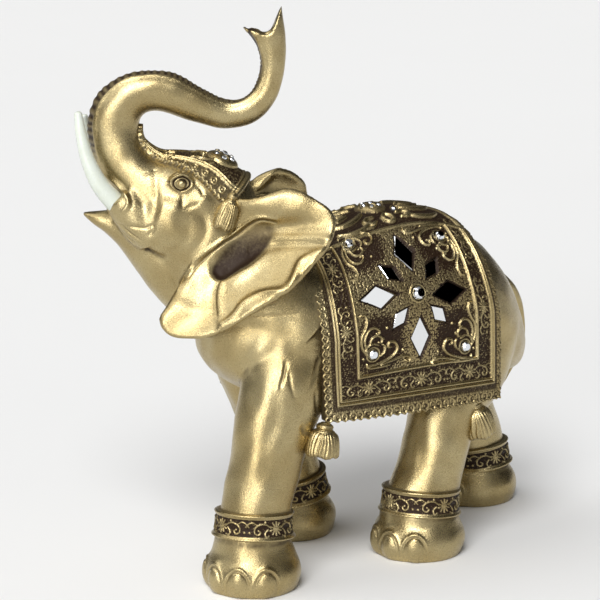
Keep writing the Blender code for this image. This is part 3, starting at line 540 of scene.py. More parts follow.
class Relief:
    """A carved height over places measured in millimetres, whatever surface they lie on."""

    def __init__(self, across: Array, along: Array) -> None:
        """Starts flat, over two arrays of the same shape."""
        self.shape = across.shape
        self.places = np.stack((across.ravel(), along.ravel()), -1)
        self.height = np.zeros(len(self.places))

    def near(self, low: Array, high: Array) -> Array:
        """Indices of the places inside a box."""
        inside = (self.places >= low).all(1) & (self.places <= high).all(1)
        return np.flatnonzero(inside)

    def stroke(self, controls: Sequence, width: float, rise: float, taper: float = 0.5) -> None:
        """Raises a rounded stroke along a smooth path.

        Args:
            controls: the points that the path runs through.
            width: its width at the middle.
            rise: its height.
            taper: how much narrower its ends are.
        """
        path = curve_through(controls) if len(controls) > 2 else np.asarray(controls, float)
        index = self.near(path.min(0) - width, path.max(0) + width)
        if not len(index):
            return
        gap, share, _ = nearest_on_path(self.places[index], path)
        half = width / 2 * (1 - taper + taper * np.sin(math.pi * np.clip(share, 0.04, 0.96)) ** 0.7)
        bump = rise * np.sqrt(np.clip(1 - (gap / half) ** 2, 0.0, 1.0))
        self.height[index] = np.maximum(self.height[index], bump)

    def dot(self, place: Sequence[float], radius: float, rise: float) -> None:
        """Raises a round bead."""
        index = self.near(np.array(place) - radius, np.array(place) + radius)
        gap = np.linalg.norm(self.places[index] - place, axis=1)
        bump = rise * np.sqrt(np.clip(1 - (gap / radius) ** 2, 0.0, 1.0))
        self.height[index] = np.maximum(self.height[index], bump)

    def ridge(self, gap: Array, half: float, rise: float, where: Array) -> None:
        """Raises a rounded line where a distance is small."""
        bump = (rise * np.sqrt(np.clip(1 - (gap / half) ** 2, 0.0, 1.0)) * where).ravel()
        self.height = np.maximum(self.height, bump)

    def grains(self, size: float, rise: float, where: Array, seed: int) -> None:
        """Raises small uneven grains, one to a cell, where asked."""
        index = np.flatnonzero(where.ravel())
        places = self.places[index] / size
        cell = np.floor(places).astype(int)
        shifts = np.random.default_rng(seed).uniform(0.1, 0.9, (61, 61, 3))
        best = np.full(len(index), 9.0)
        tall = np.zeros(len(index))
        for i in (-1, 0, 1):
            for j in (-1, 0, 1):
                key = cell + (i, j)
                shift = shifts[key[:, 0] % 61, key[:, 1] % 61]
                gap = np.linalg.norm(places - key - shift[:, :2], axis=1)
                closer = gap < best
                best[closer] = gap[closer]
                tall[closer] = shift[closer, 2]
        bump = rise * (0.5 + 0.6 * tall) * np.clip(1 - best / 0.62, 0.0, 1.0) ** 0.8
        self.height[index] = np.maximum(self.height[index], bump)

    def blossom(self, place: Sequence[float], turn: float, size: float = 1.0, rise: float = 0.7) -> None:
        """A ten-petalled blossom between two curling tendrils.

        Args:
            place: its middle.
            turn: the way its tendrils run.
            size: its scale.
            rise: its height.
        """
        c, s = math.cos(turn), math.sin(turn)
        turned = np.array([[c, s], [-s, c]]) * size
        for k in range(10):
            angle = math.tau * (k + 0.5) / 10
            ray = np.array([math.cos(angle), math.sin(angle) * 0.95])
            self.stroke(np.array([ray * 0.7, ray * 1.6, ray * 2.75]) @ turned + place, 0.62 * size, rise, 0.4)
        self.dot(place, 0.75 * size, rise * 1.1)
        for way in (-1, 1):
            for controls, width in TENDRILS:
                path = (np.array(controls) * (way, 1)) @ turned + place
                self.stroke(path, width * size, rise, 0.35)
            for spot in ((10.6, -1.6), (4.6, 2.4)):
                self.dot((np.array(spot) * (way, 1)) @ turned + place, 0.5 * size, rise * 0.8)

    def scrolls(self, place: Sequence[float], hand: tuple[int, int], rise: float) -> None:
        """Acanthus scrolls that curl out of a corner, mirrored by hand."""
        for controls, width in SCROLLS:
            self.stroke(np.array(controls) * hand + place, width, rise, 0.45)
        for spot in ((-4.3, -1.0), (4.6, 5.6), (6.4, 9.6), (13.4, -0.6)):
            self.dot(np.array(spot) * hand + place, 0.62, rise * 0.8)

    def grid(self) -> Array:
        """The height in the shape of the places."""
        return self.height.reshape(self.shape)


# Curls beside a blossom: path, width
TENDRILS = (
    (
        ((2.4, 0.2), (4.2, 1.5), (6.6, 1.5), (8.6, 0.2), (8.6, -1.6), (7.2, -2.2), (6.4, -1.2), (7.3, -0.7)),
        0.6,
    ),
    (((3.2, -0.2), (4.6, -1.6), (4.2, -2.9), (3.0, -2.6)), 0.5),
    (((7.6, 1.2), (9.6, 2.2), (11.4, 1.4), (11.0, 0.3)), 0.5),
)
# Scrolls of a corner, out from its stone: path, width
SCROLLS = (
    (
        ((-4.4, 17.0), (-2.6, 16.6), (-2.0, 14.2), (-3.0, 11.4),
         (-4.9, 8.6), (-5.1, 5.2), (-4.2, 2.4), (-2.6, 0.2)),
        1.05,
    ),
    (((-2.9, 2.4), (-3.7, 6.2), (-2.4, 9.6), (0.3, 10.8), (2.6, 9.6), (2.8, 8.2), (1.6, 8.3)), 0.95),
    (((-1.6, 4.0), (-0.6, 6.6), (1.9, 7.4), (3.9, 6.0), (3.6, 4.3), (2.4, 4.6)), 0.9),
    (((-3.2, 0.6), (-3.0, 3.2), (-0.4, 4.5), (2.4, 3.4)), 0.8),
    (
        ((-2.2, -4.4), (2.7, -4.0), (8.0, -2.3), (10.7, 0.4), (9.7, 3.2), (7.2, 3.6), (6.6, 1.9), (7.9, 1.6)),
        1.05,
    ),
    (((3.4, -4.7), (9.2, -3.7), (13.8, -3.0), (16.4, -4.2), (15.6, -5.5), (14.3, -4.9)), 0.9),
    (((-3.0, -3.4), (-2.2, -5.2), (2.0, -5.5), (7.0, -5.4)), 1.1),
    (((2.9, -1.2), (4.8, 0.2), (5.2, 2.4), (4.2, 3.4)), 0.8),
)


class Shade(Enum):
    """The colours of the finishes, as linear red, green, blue and alpha."""

    GOLD = (0.400, 0.312, 0.150, 1.0)
    GOLD_PALE = (0.490, 0.402, 0.215, 1.0)
    GOLD_DEEP = (0.170, 0.118, 0.045, 1.0)
    # Dark brown of the antiquing, also used for painted shade
    WASH = (0.022, 0.011, 0.005, 1.0)
    IVORY = (0.590, 0.625, 0.560, 1.0)
    IVORY_ROOT = (0.480, 0.505, 0.420, 1.0)
    SILVER = (0.830, 0.840, 0.850, 1.0)
    CRYSTAL = (0.800, 0.830, 0.870, 1.0)
    PAPER = (0.800, 0.800, 0.796, 1.0)
    FLOOR = (0.700, 0.700, 0.697, 1.0)


class NodeDesk:
    """A new node material and short ways to wire it."""

    def __init__(self, name: str) -> None:
        """Makes the material with its Principled shader."""
        self.material = bpy.data.materials.new(name)
        self.material.use_nodes = True
        self.tree = self.material.node_tree
        self.shader = self.tree.nodes["Principled BSDF"]
        self.places = self.add("ShaderNodeTexCoord").outputs["Object"]

    def add(self, kind: str, **settings: object) -> bpy.types.Node:
        """Adds a node with the settings given."""
        node = self.tree.nodes.new(kind)
        for key, value in settings.items():
            setattr(node, key, value)
        return node

    def wire(self, source: Socket, target: Socket) -> None:
        """Joins two sockets."""
        self.tree.links.new(source, target)

    def noise(self, scale: float, detail: float = 3.0, roughness: float = 0.55) -> Socket:
        """A noise over the object, its scale in cells per metre."""
        node = self.add("ShaderNodeTexNoise")
        node.inputs["Scale"].default_value = scale
        node.inputs["Detail"].default_value = detail
        node.inputs["Roughness"].default_value = roughness
        self.wire(self.places, node.inputs["Vector"])
        return node.outputs["Fac"]

    def ramp(self, source: Socket, low: float, high: float, start: float, end: float) -> Socket:
        """A value that runs from start to end as the source goes from low to high."""
        node = self.add("ShaderNodeMapRange", interpolation_type="SMOOTHSTEP")
        for key, value in zip(("From Min", "From Max", "To Min", "To Max"), (low, high, start, end)):
            node.inputs[key].default_value = value
        self.wire(source, node.inputs["Value"])
        return node.outputs["Result"]

    def mix(self, share: Socket, first: object, second: object) -> Socket:
        """Two colours mixed by a share; each is a Shade or a socket."""
        node = self.add("ShaderNodeMix", data_type="RGBA")
        self.wire(share, node.inputs["Factor"])
        for part, socket in ((first, node.inputs["A"]), (second, node.inputs["B"])):
            target = [s for s in node.inputs if s.name == socket.name and s.type == "RGBA"][0]
            if isinstance(part, Shade):
                target.default_value = part.value
            else:
                self.wire(part, target)
        return [s for s in node.outputs if s.type == "RGBA"][0]

    def math(self, operation: str, first: object, second: object) -> Socket:
        """Arithmetic on two sockets or numbers."""
        node = self.add("ShaderNodeMath", operation=operation)
        for index, part in enumerate((first, second)):
            if isinstance(part, Socket):
                self.wire(part, node.inputs[index])
            else:
                node.inputs[index].default_value = part
        return node.outputs["Value"]

    def bump(self, height: Socket, strength: float, distance: float) -> None:
        """Roughens the surface by a height, its distance in metres."""
        node = self.add("ShaderNodeBump")
        node.inputs["Strength"].default_value = strength
        node.inputs["Distance"].default_value = distance
        self.wire(height, node.inputs["Height"])
        self.wire(node.outputs["Normal"], self.shader.inputs["Normal"])


@dataclass(frozen=True)
class GoldPaint:
    """Satin gold paint, dark brown where its vertex attribute says so: antiquing, and painted shade in hollows,
    creases and under trims.
    """

    name: str = "gold_paint"
    cloudiness: float = 55.0
    flake: float = 2600.0
    sheen_roughness: float = 0.28

    def material(self) -> Finish:
        """Wires the finish."""
        desk = NodeDesk(self.name)
        clouds = desk.ramp(desk.noise(self.cloudiness), 0.35, 0.7, 0.0, 1.0)
        gold = desk.mix(clouds, Shade.GOLD, Shade.GOLD_PALE)
        flakes = desk.noise(self.flake, 2.0, 0.7)
        gold = desk.mix(desk.ramp(flakes, 0.50, 0.74, 0.0, 0.62), gold, Shade.GOLD_DEEP)
        layer = desk.add("ShaderNodeAttribute", attribute_name="wash_and_shade").outputs["Fac"]
        broken = desk.ramp(desk.noise(900.0, 4.0, 0.7), 0.3, 0.7, -0.07, 0.07)
        wash_and_shade = desk.ramp(desk.math("ADD", layer, desk.math("MULTIPLY", broken, layer)), 0.12, 0.92, 0.0, 1.0)
        desk.wire(desk.mix(wash_and_shade, gold, Shade.WASH), desk.shader.inputs["Base Color"])
        desk.wire(desk.ramp(wash_and_shade, 0.0, 1.0, 0.96, 0.25), desk.shader.inputs["Metallic"])
        rough = desk.ramp(flakes, 0.3, 0.8, self.sheen_roughness - 0.05, self.sheen_roughness + 0.1)
        desk.wire(desk.math("ADD", rough, desk.math("MULTIPLY", wash_and_shade, 0.18)), desk.shader.inputs["Roughness"])
        desk.shader.inputs["Specular IOR Level"].default_value = 0.2
        desk.bump(flakes, 0.7, 0.00014)
        return desk.material


@dataclass(frozen=True)
class IvoryResin:
    """Smooth ivory resin, a little darker and yellower at the root."""

    name: str = "ivory_resin"

    def material(self) -> Finish:
        """Wires the finish."""
        desk = NodeDesk(self.name)
        grain = desk.ramp(desk.noise(240.0, 2.0), 0.4, 0.75, 0.0, 1.0)
        layer = desk.add("ShaderNodeAttribute", attribute_name="wash_and_shade").outputs["Fac"]
        tint = desk.math("ADD", desk.math("MULTIPLY", grain, 0.3), layer)
        desk.wire(desk.mix(tint, Shade.IVORY, Shade.IVORY_ROOT), desk.shader.inputs["Base Color"])
        desk.wire(desk.ramp(grain, 0.0, 1.0, 0.26, 0.36), desk.shader.inputs["Roughness"])
        desk.shader.inputs["Subsurface Weight"].default_value = 0.25
        desk.shader.inputs["Subsurface Radius"].default_value = (0.003, 0.003, 0.002)
        desk.bump(desk.noise(700.0), 0.15, 0.00004)
        return desk.material


@dataclass(frozen=True)
class BrightChip:
    """Silvered glass or foiled crystal, with a trace of dust."""

    name: str
    shade: Shade
    roughness: float

    def material(self) -> Finish:
        """Wires the finish."""
        desk = NodeDesk(self.name)
        dust = desk.ramp(desk.noise(420.0, 4.0), 0.5, 0.8, 0.0, 1.0)
        colour = desk.mix(desk.math("MULTIPLY", dust, 0.12), self.shade, Shade.PAPER)
        desk.wire(colour, desk.shader.inputs["Base Color"])
        roughness = desk.ramp(dust, 0.0, 1.0, self.roughness, self.roughness + 0.06)
        desk.wire(roughness, desk.shader.inputs["Roughness"])
        desk.shader.inputs["Metallic"].default_value = 1.0
        desk.shader.inputs["Coat Weight"].default_value = 0.6
        desk.shader.inputs["Coat Roughness"].default_value = 0.02
        return desk.material


@dataclass(frozen=True)
class PaleFloor:
    """Plain matt paper for the floor."""

    name: str = "pale_floor"

    def material(self) -> Finish:
        """Wires the finish."""
        desk = NodeDesk(self.name)
        colour = desk.mix(desk.ramp(desk.noise(3.0), 0.3, 0.7, 0.0, 0.05), Shade.PAPER, Shade.FLOOR)
        desk.wire(colour, desk.shader.inputs["Base Color"])
        desk.shader.inputs["Roughness"].default_value = 0.9
        desk.shader.inputs["Specular IOR Level"].default_value = 0.1
        return desk.material


class Mark(Enum):
    """How a carved line shapes the hide."""

    LINE = "line"
    STEP = "step"


@dataclass(frozen=True)
class Fold:
    """A carved line on the hide, by pixels of the picture.

    The rise is negative for a groove. A step lifts the side on the left of the path and sinks the other.
    """

    pixels: tuple[tuple[float, float], ...]
    width: float
    rise: float
    # How dark the line is painted: antiquing and painted shade in the groove
    wash_and_shade: float = 0.0
    mark: Mark = Mark.LINE
    both_sides: bool = True


FACE_FOLDS = (
    Fold(((155, 171), (156, 185), (157, 199), (156.5, 209), (154, 217), (152.5, 225)), 1.3, -0.5, 0.25),
    Fold(((144, 176), (149, 173.5), (155, 170)), 0.45, -0.25, 0.3),
    Fold(((118, 223), (130, 233), (142, 241)), 0.55, -0.5, 0.45),
    Fold(((122, 225), (134, 227), (145, 228), (152.5, 225)), 0.5, -0.45, 0.4),
    Fold(((119, 229), (127, 237), (135, 243)), 0.55, -0.45, 0.4),
    Fold(((152.5, 225), (153.5, 230), (149, 235)), 0.7, -0.4, 0.3),
    Fold(
        ((105, 175), (112, 181), (119, 187), (125, 195), (128, 202), (126, 208), (121, 213)),
        0.75, 0.75, 0.0,
    ),
    Fold(((108, 171), (116, 178), (124, 185), (130, 194), (132, 203), (130, 210)), 0.8, -0.3, 0.35),
    Fold(((182, 196), (182.5, 202), (181.5, 208)), 0.9, -0.35, 0.2),
    Fold(((186, 208), (194, 206), (199, 203)), 0.8, -0.3, 0.15),
    Fold(((196, 214), (204, 218), (206, 232), (198, 246), (188, 254)), 1.6, -0.45, 0.1),
    Fold(((176, 206), (172, 220), (176, 236), (186, 250)), 2.6, 0.55, 0.0),
    Fold(((190, 216), (194, 226), (190, 238)), 2.6, 0.5, 0.0),
    Fold(((203, 196), (206, 204)), 2.2, 0.5, 0.0),
    Fold(((197, 186), (201, 190), (203, 196)), 0.6, -0.3, 0.3),
    Fold(((160, 195), (163, 204), (160, 214)), 2.2, 0.4, 0.0),
)
EAR_FOLDS = (
    Fold(
        ((277, 219.5), (262, 217), (249.5, 221), (232.6, 234), (218, 243), (195, 261),
         (185.3, 274), (178, 290)),
        0.7, 0.75,
    ),
    Fold(
        ((275, 223), (262, 221), (251, 225), (236, 236), (221, 246), (199, 264), (189, 277)),
        0.45, -0.6, 0.6,
    ),
    Fold(((218, 243), (195, 261), (183, 274), (175.5, 288)), 0.5, -0.3, 0.4),
    Fold(
        ((329.5, 246), (323.5, 242), (307.7, 241.4), (288.3, 241.8), (271.4, 242.5), (262, 247)),
        1.9, -0.75, 0.0, Mark.STEP,
    ),
    Fold(((329.5, 245), (307.7, 241.4), (288.3, 241.4), (271.4, 242)), 0.6, -0.3, 0.25),
    Fold(((221, 278), (216.5, 290), (216, 304), (217, 317)), 1.7, 0.5, 0.0, Mark.STEP),
    Fold(((221, 278), (216.5, 290), (216, 304), (217, 317)), 0.5, -0.3, 0.25),
    Fold(
        ((222, 324), (232.6, 316), (242.3, 304), (255.6, 296), (267.7, 292), (283.5, 291), (291, 285),
         (296, 273), (301, 262), (309, 256), (323, 250)),
        1.3, 1.0,
    ),
    Fold(
        ((225, 316), (233, 308), (242, 296), (255, 288), (267, 285), (279, 284), (286, 278), (291, 268),
         (297, 257), (306, 251)),
        2.2, -0.4, 0.0,
    ),
    Fold(((226, 285), (236, 278), (252, 268), (268, 258), (285, 254)), 2.6, 0.5),
    Fold(((172, 300), (182, 309), (196, 311), (208, 306)), 2.8, 0.4),
    Fold(((300, 200), (312, 212), (322, 226)), 3.2, 0.45),
)
BODY_FOLDS = (
    Fold(((285.7, 363), (283.5, 374.8), (279.9, 386.5)), 0.8, -0.65, 0.5),
    Fold(((289.4, 373.3), (290.9, 385), (294.5, 398)), 0.7, -0.5, 0.4),
    Fold(((283, 366), (281, 377), (277.5, 390)), 0.6, 0.35),
    Fold(((319.4, 358.6), (316.5, 368.9), (310.6, 386)), 1.0, -0.6, 0.5),
    Fold(((316, 392), (316.8, 406.7), (321, 419.9)), 1.0, -0.45, 0.4),
    Fold(((301.4, 426), (304.4, 433), (314, 436)), 1.1, -0.6, 0.6),
    Fold(((249.5, 315.3), (264, 316), (281, 314), (296.8, 314.7)), 0.4, -0.3, 0.35, both_sides=False),
    Fold(((275, 389), (277, 414), (268, 443), (263, 473)), 3.0, -0.6, 0.05),
    Fold(((249, 330), (246, 360), (252, 392), (256, 420)), 4.0, -0.6, 0.0),
    Fold(((289, 326), (292, 350), (300, 372)), 3.0, -0.4, 0.0),
    Fold(((417, 428), (420, 450), (419, 470)), 3.2, -0.4, 0.0),
    Fold(((455, 425), (458, 446), (452, 470)), 3.0, -0.35, 0.0),
)
# The ear's hollow: pixels along its middle, and its half width in millimetres
EAR_HOLLOW = ((222, 268), (232, 258), (243, 249), (254, 240), (263, 233))
EAR_HOLLOW_REACH = 6.2
EYE_PIXEL = (181.8, 183.9)
# Balls laid into the hide: middle and half sizes. These stand on both sides of the body
SHOULDER = ((-3.0, 19.0, 88.0), (18.0, 13.0, 22.0))
HIP = ((83.0, 17.5, 84.0), (17.5, 14.0, 20.5))
# In the head's frame: forward, out, up
BREAST = ((9.0, 0.0, 92.0), (14.0, 17.0, 15.0))
CHEEK = ((33.0, 13.0, 136.0), (13.0, 7.5, 12.5))
EYE_BALL = ((30.0, 15.0, 151.3), (4.2, 2.6, 4.2))
# The way across a tusk's sleeve: forward, up
SLEEVE_ACROSS = (-0.77, 0.64)
# How far the trunk's lips stand over its end
LIP_CROWN_LIFT, LIP_THROAT_LIFT, LIP_LEAST_LIFT = 9.2, 4.2, 1.8
# The trunk's open side: the station where it begins, and how far round from the crown its edge runs
TRUNK_OPEN_FROM = 7.6
TRUNK_EDGE = math.radians(141)
# Toes: how far out and up their balls lie, half sizes, then the reach, half angle and height of their arcs
TOE_OUT, TOE_UP, TOE_SIZE = 13.8, 5.8, (5.6, 5.4, 7.4)
TOE_ARC_OUT, TOE_ARC_ANGLE, TOE_ARC_HEIGHT = 19.5, 0.275, 10.8
# The skin below this height is a sole
SOLE_HEIGHT = 0.6


@dataclass
class Hide:
    """The elephant's body, head, ears and legs, carved as one skin.

    Its parts are laid out as primitives, fused into one skin, eased, and then carved.
    """

    cell: float = 0.8
    easing: int = 9
    most_triangles: int = 194000
    eye_radius: float = 3.9
    # The eye's rings, by their distance from its middle
    lid: float = 3.85
    crease: float = 3.15
    inner_lid: float = 2.5
    iris_line: float = 1.75
    iris: float = 1.5
    # The skin's waviness: wave lengths and height
    waves: tuple[float, ...] = (15.0, 11.0, 8.5, 7.0)
    wave_height: float = 0.055
    rib_pitch: float = 1.9
    folds: tuple[Fold, ...] = FACE_FOLDS + EAR_FOLDS + BODY_FOLDS
    parts: list[Piece] = field(default_factory=list)

    def lay_out(self) -> None:
        """Places the primitives of every limb."""
        angles = np.linspace(0, math.tau, 48, endpoint=False)
        stations = rows_at(TORSO, np.linspace(0, len(TORSO) - 1, 50))[:, 0]
        self.parts.append(tube("torso", torso_surface(stations[:, None], angles[None, :])))
        self.parts.append(tube("head", self.head_rings(angles)))
        jaw = rows_at(JAW, np.linspace(0, len(JAW) - 1, 24))
        up = jaw[:, 1:2] + jaw[:, 2:3] * np.sin(angles)
        self.parts.append(tube("jaw", head_point(jaw[:, :1], jaw[:, 3:4] * np.cos(angles), up)))
        for side in (-1, 1):
            self.lay_out_face(side, angles)
            self.parts.append(tube("ear", self.ear_rings(side)))
            for (x, y, z), size in (SHOULDER, HIP):
                self.parts.append(ball((x, y * side, z), size))
        self.parts.append(ball(head_point(*BREAST[0]), BREAST[1]))
        for name in LEGS:
            self.lay_out_leg(name, angles)
        rings = [
            np.stack((x + r * np.sin(angles), r * np.cos(angles), z + 0.4 * r * np.sin(angles)), -1)
            for x, z, r in rows_at(TAIL, np.linspace(0, len(TAIL) - 1, 40))
        ]
        self.parts.append(tube("tail", rings))

    def head_rings(self, angles: Array) -> Array:
        """Rings of the neck, head and trunk, with the trunk's lips and the pit between them."""
        rings = head_surface(np.linspace(0, len(HEAD) - 1, 110)[:, None], angles[None, :])
        last = rings[-1]
        centre = last.mean(0)
        rise = centre - rings[-3].mean(0)
        rise /= np.linalg.norm(rise)
        crown, throat = np.maximum(np.cos(angles), 0), np.maximum(-np.cos(angles), 0)
        lift = (LIP_CROWN_LIFT * crown**1.5 + LIP_THROAT_LIFT * throat**2 + LIP_LEAST_LIFT)[:, None]
        wide = (1.0 + 0.15 * crown + 0.45 * throat)[:, None]
        lips = centre + (last - centre) * wide + rise * lift
        inner = centre + (lips - centre) * 0.45 + rise * 0.5
        pit = centre + (last - centre) * 0.35 - rise * 3.0
        return np.concatenate((rings, [lips, inner, pit]))

    def lay_out_face(self, side: int, angles: Array) -> None:
        """Places a cheek, an eye and the sleeve of a tusk."""
        for (forward, out, up), size in (CHEEK, EYE_BALL):
            self.parts.append(ball(head_point(forward, out * side, up), size, -HEAD_TURN))
        rings = []
        for forward, up, radius in rows_at(SLEEVE, np.linspace(0, len(SLEEVE) - 1, 12)):
            along = radius * np.sin(angles)
            out = SLEEVE_SPREAD * side + radius * np.cos(angles)
            rings.append(head_point(forward + SLEEVE_ACROSS[0] * along, out, up + SLEEVE_ACROSS[1] * along))
        self.parts.append(tube("sleeve", rings))

    def ear_points(self, side: int, place: Array, share: Array) -> Array:
        """Points of an ear's middle layer between its root and its rim."""
        rim = rows_at(EAR_RIM, place * (len(EAR_RIM) - 1))
        root = rows_at(EAR_ROOT, place * (len(EAR_ROOT) - 1))
        if side < 0:
            waist = bell(place - FAR_EAR_NARROWEST, FAR_EAR_NARROW_SPAN)
            share = share * (1 - FAR_EAR_NARROWING * waist)
        mixed = root + (rim[..., :3] - root) * share[..., None]
        forward, out, up = np.moveaxis(mixed, -1, 0)
        out = out + rim[..., 3] * np.sin(math.pi * share)
        if side < 0:
            back, wide = forward - root[..., 0], out - root[..., 1]
            forward = root[..., 0] + back * math.cos(FAR_EAR_SWING)
            out = root[..., 1] + wide * math.cos(FAR_EAR_SWING) + np.abs(back) * math.sin(FAR_EAR_SWING) * 0.5
            up = up - FAR_EAR_DROP * share * np.maximum(0.0, 1 - (place / FAR_EAR_DROP_END) ** 2)
        return head_point(forward, out * side, up)

    def ear_rings(self, side: int) -> Array:
        """Flat rings round an ear's slab, thicker at the root."""
        place, share = np.meshgrid(np.linspace(0, 1, 100), np.linspace(-0.25, 1.0, 44), indexing="ij")
        middle = self.ear_points(side, place, share)
        ahead, behind = np.minimum(place + 0.01, 1), np.maximum(place - 0.01, 0)
        along = self.ear_points(side, ahead, share) - self.ear_points(side, behind, share)
        across = self.ear_points(side, place, share + 0.02) - self.ear_points(side, place, share - 0.02)
        normal = np.cross(along, across)
        normal /= np.linalg.norm(normal, axis=-1, keepdims=True)
        thick = EAR_THICKNESS / 2 * (1.6 - 0.6 * np.clip((share + 0.25) / 1.25 * 1.6, 0, 1))
        thick[:, -1] *= 0.7
        fore, aft = middle - normal * thick[..., None], middle + normal * thick[..., None]
        return np.concatenate((fore, aft[:, ::-1]), 1)

    def lay_out_leg(self, name: str, angles: Array) -> None:
        """Places a leg and its toes."""
        rows = leg_rows(name)
        places = np.linspace(0, len(rows) - 1, 60)
        self.parts.append(tube(name, [leg_surface(name, place, angles, 0.0, 0.0, 0.0) for place in places]))
        x, y = rows[-1][:2]
        for angle in TOES[name]:
            turn = math.radians(180 - angle)
            centre = (x + TOE_OUT * math.cos(turn), y + TOE_OUT * math.sin(turn), TOE_UP)
            self.parts.append(ball(centre, TOE_SIZE, turn))

    def fuse(self) -> Piece:
        """Joins the parts into one eased skin, cut flat under the soles."""
        body = pick(*self.parts)
        bpy.ops.object.join()
        apply_modifier(body, "REMESH", mode="VOXEL", voxel_size=self.cell * MM)
        apply_modifier(body, "SMOOTH", factor=0.5, iterations=self.easing)
        with editing(body):
            bpy.ops.mesh.bisect(plane_co=(0, 0, 0.00002), plane_no=(0, 0, 1), use_fill=True, clear_inner=True)
        body.name = body.data.name = "elephant_hide"
        return body

    def cast(self, tree: BVHTree, pixels: Sequence) -> tuple[Array, Array]:
        """Where the camera's rays through pixels meet the skin.

        Args:
            tree: the skin, in metres.
            pixels: pixels of the picture.

        Returns:
            The drawn points that were met, and the skin's directions there.
        """
        right, up, back = camera_axes()
        eye = to_metres(TARGET + back * DISTANCE)
        middle = PICTURE_PIXELS / 2
        points, normals = [], []
        for across, down in pixels:
            ray = right * (across - middle) + up * (middle - down) - back * FOCAL_PIXELS
            place, normal, _, _ = tree.ray_cast(Vector(eye), Vector(ray / np.linalg.norm(ray)))
            if place is not None:
                points.append(to_drawn(place))
                normals.append(np.array(normal))
        return np.array(points), np.array(normals)

    def mirrored(self, tree: BVHTree, points: Array, of_head: bool) -> tuple[Array, Array]:
        """The same line on the far side, laid on the skin there."""
        if of_head:
            forward, out, up = np.moveaxis(head_coordinates(points), -1, 0)
            twins = head_point(forward, -out, up)
        else:
            twins = points * (1, -1, 1)
        return laid_on(tree, twins)

    def trace(self, tree: BVHTree) -> list[tuple[Fold, Array, Array]]:
        """Lays every fold on the skin, with its twin on the far side."""
        lines = []
        for fold in self.folds:
            points, normals = self.cast(tree, curve_through(fold.pixels, 7))
            if len(points) < 3:
                continue
            lines.append((fold, points, normals))
            if fold.both_sides:
                lines.append((fold, *self.mirrored(tree, points, fold not in BODY_FOLDS)))
        for name in LEGS:
            x, y = leg_rows(name)[-1][:2]
            for angle in TOES[name]:
                for size, fold in ((1.0, Fold((), 0.5, -0.6, 0.55)), (1.13, Fold((), 0.55, 0.35))):
                    lines.append((fold, *self.toe_line(tree, (x, y), math.radians(180 - angle), size)))
        return lines

    def toe_line(self, tree: BVHTree, foot: tuple[float, float], turn: float, size: float) -> tuple[Array, Array]:
        """An arched line over one toe."""
        share = np.linspace(-1, 1, 25)
        around = turn + share * TOE_ARC_ANGLE * size
        high = 0.8 + TOE_ARC_HEIGHT * size * np.sqrt(1 - np.abs(share) ** 2.6)
        ahead, aside = TOE_ARC_OUT * np.cos(around), TOE_ARC_OUT * np.sin(around)
        return laid_on(tree, np.stack((foot[0] + ahead, foot[1] + aside, high), -1))

    def refine(self, body: Piece, lines: list, eyes: Array) -> None:
        """Splits the faces under fine lines and twice round the eyes."""
        fine = [points for fold, points, _ in lines if fold.width < 1.0]
        for targets, reach, cuts in ((np.concatenate(fine), 1.3, 1), (eyes, self.eye_radius + 1.6, 2)):
            tree = search_tree(targets)
            points = get_points(body)
            low, high = targets.min(0) - reach, targets.max(0) + reach
            inside = ((points > low) & (points < high)).all(1)
            chosen = np.zeros(len(points), bool)
            for index in np.flatnonzero(inside):
                chosen[index] = tree.find(points[index])[2] < reach
            pick(body)
            bpy.context.tool_settings.mesh_select_mode = (False, False, True)
            bpy.ops.object.mode_set(mode="EDIT")
            bpy.ops.mesh.select_all(action="DESELECT")
            bpy.ops.object.mode_set(mode="OBJECT")
            for face in body.data.polygons:
                face.select = all(chosen[vertex] for vertex in face.vertices)
            bpy.ops.object.mode_set(mode="EDIT")
            bpy.ops.mesh.subdivide(number_cuts=cuts, smoothness=0.0)
            bpy.ops.object.mode_set(mode="OBJECT")
            apply_modifier(body, "TRIANGULATE")

    def carve(self, body: Piece) -> None:
        """Cuts the folds, toes, eyes, ear hollows and the trunk's underside, and paints them darker: antiquing
        and painted shade.
        """
        tree = BVHTree.FromObject(body, bpy.context.evaluated_depsgraph_get())
        lines = self.trace(tree)
        eye, facing = self.cast(tree, (EYE_PIXEL,))
        eyes = [(eye, facing), self.mirrored(tree, eye, True)]
        hollow, _ = self.cast(tree, curve_through(EAR_HOLLOW, 5))
        self.refine(body, lines, np.concatenate([place for place, _ in eyes]))
        points, normals = get_points(body), get_normals(body)
        lift, wash_and_shade = np.zeros(len(points)), np.zeros(len(points))
        for fold, path, directions in lines:
            self.cut_line(fold, path, directions, points, normals, lift, wash_and_shade)
        for path in (hollow, self.mirrored(tree, hollow, True)[0]):
            self.cut_hollow(path, points, lift, wash_and_shade)
        self.carve_trunk(points, lift, wash_and_shade)
        for place, direction in eyes:
            self.carve_eye(place[0], direction[0], points, normals, lift, wash_and_shade)
        lift += self.unevenness(points)
        sole = points[:, 2] < SOLE_HEIGHT
        lift[sole] = np.minimum(lift[sole], 0.0)
        carved = points + normals * lift[:, None]
        carved[:, 2] = np.maximum(carved[:, 2], np.where(sole, points[:, 2], 0.05))
        set_points(body, carved)
        wash_and_shade = np.maximum(wash_and_shade, self.recess_wash_and_shade(body))
        wash_and_shade = np.maximum(wash_and_shade, self.trim_wash_and_shade(carved))
        set_wash_and_shade(body, wash_and_shade)

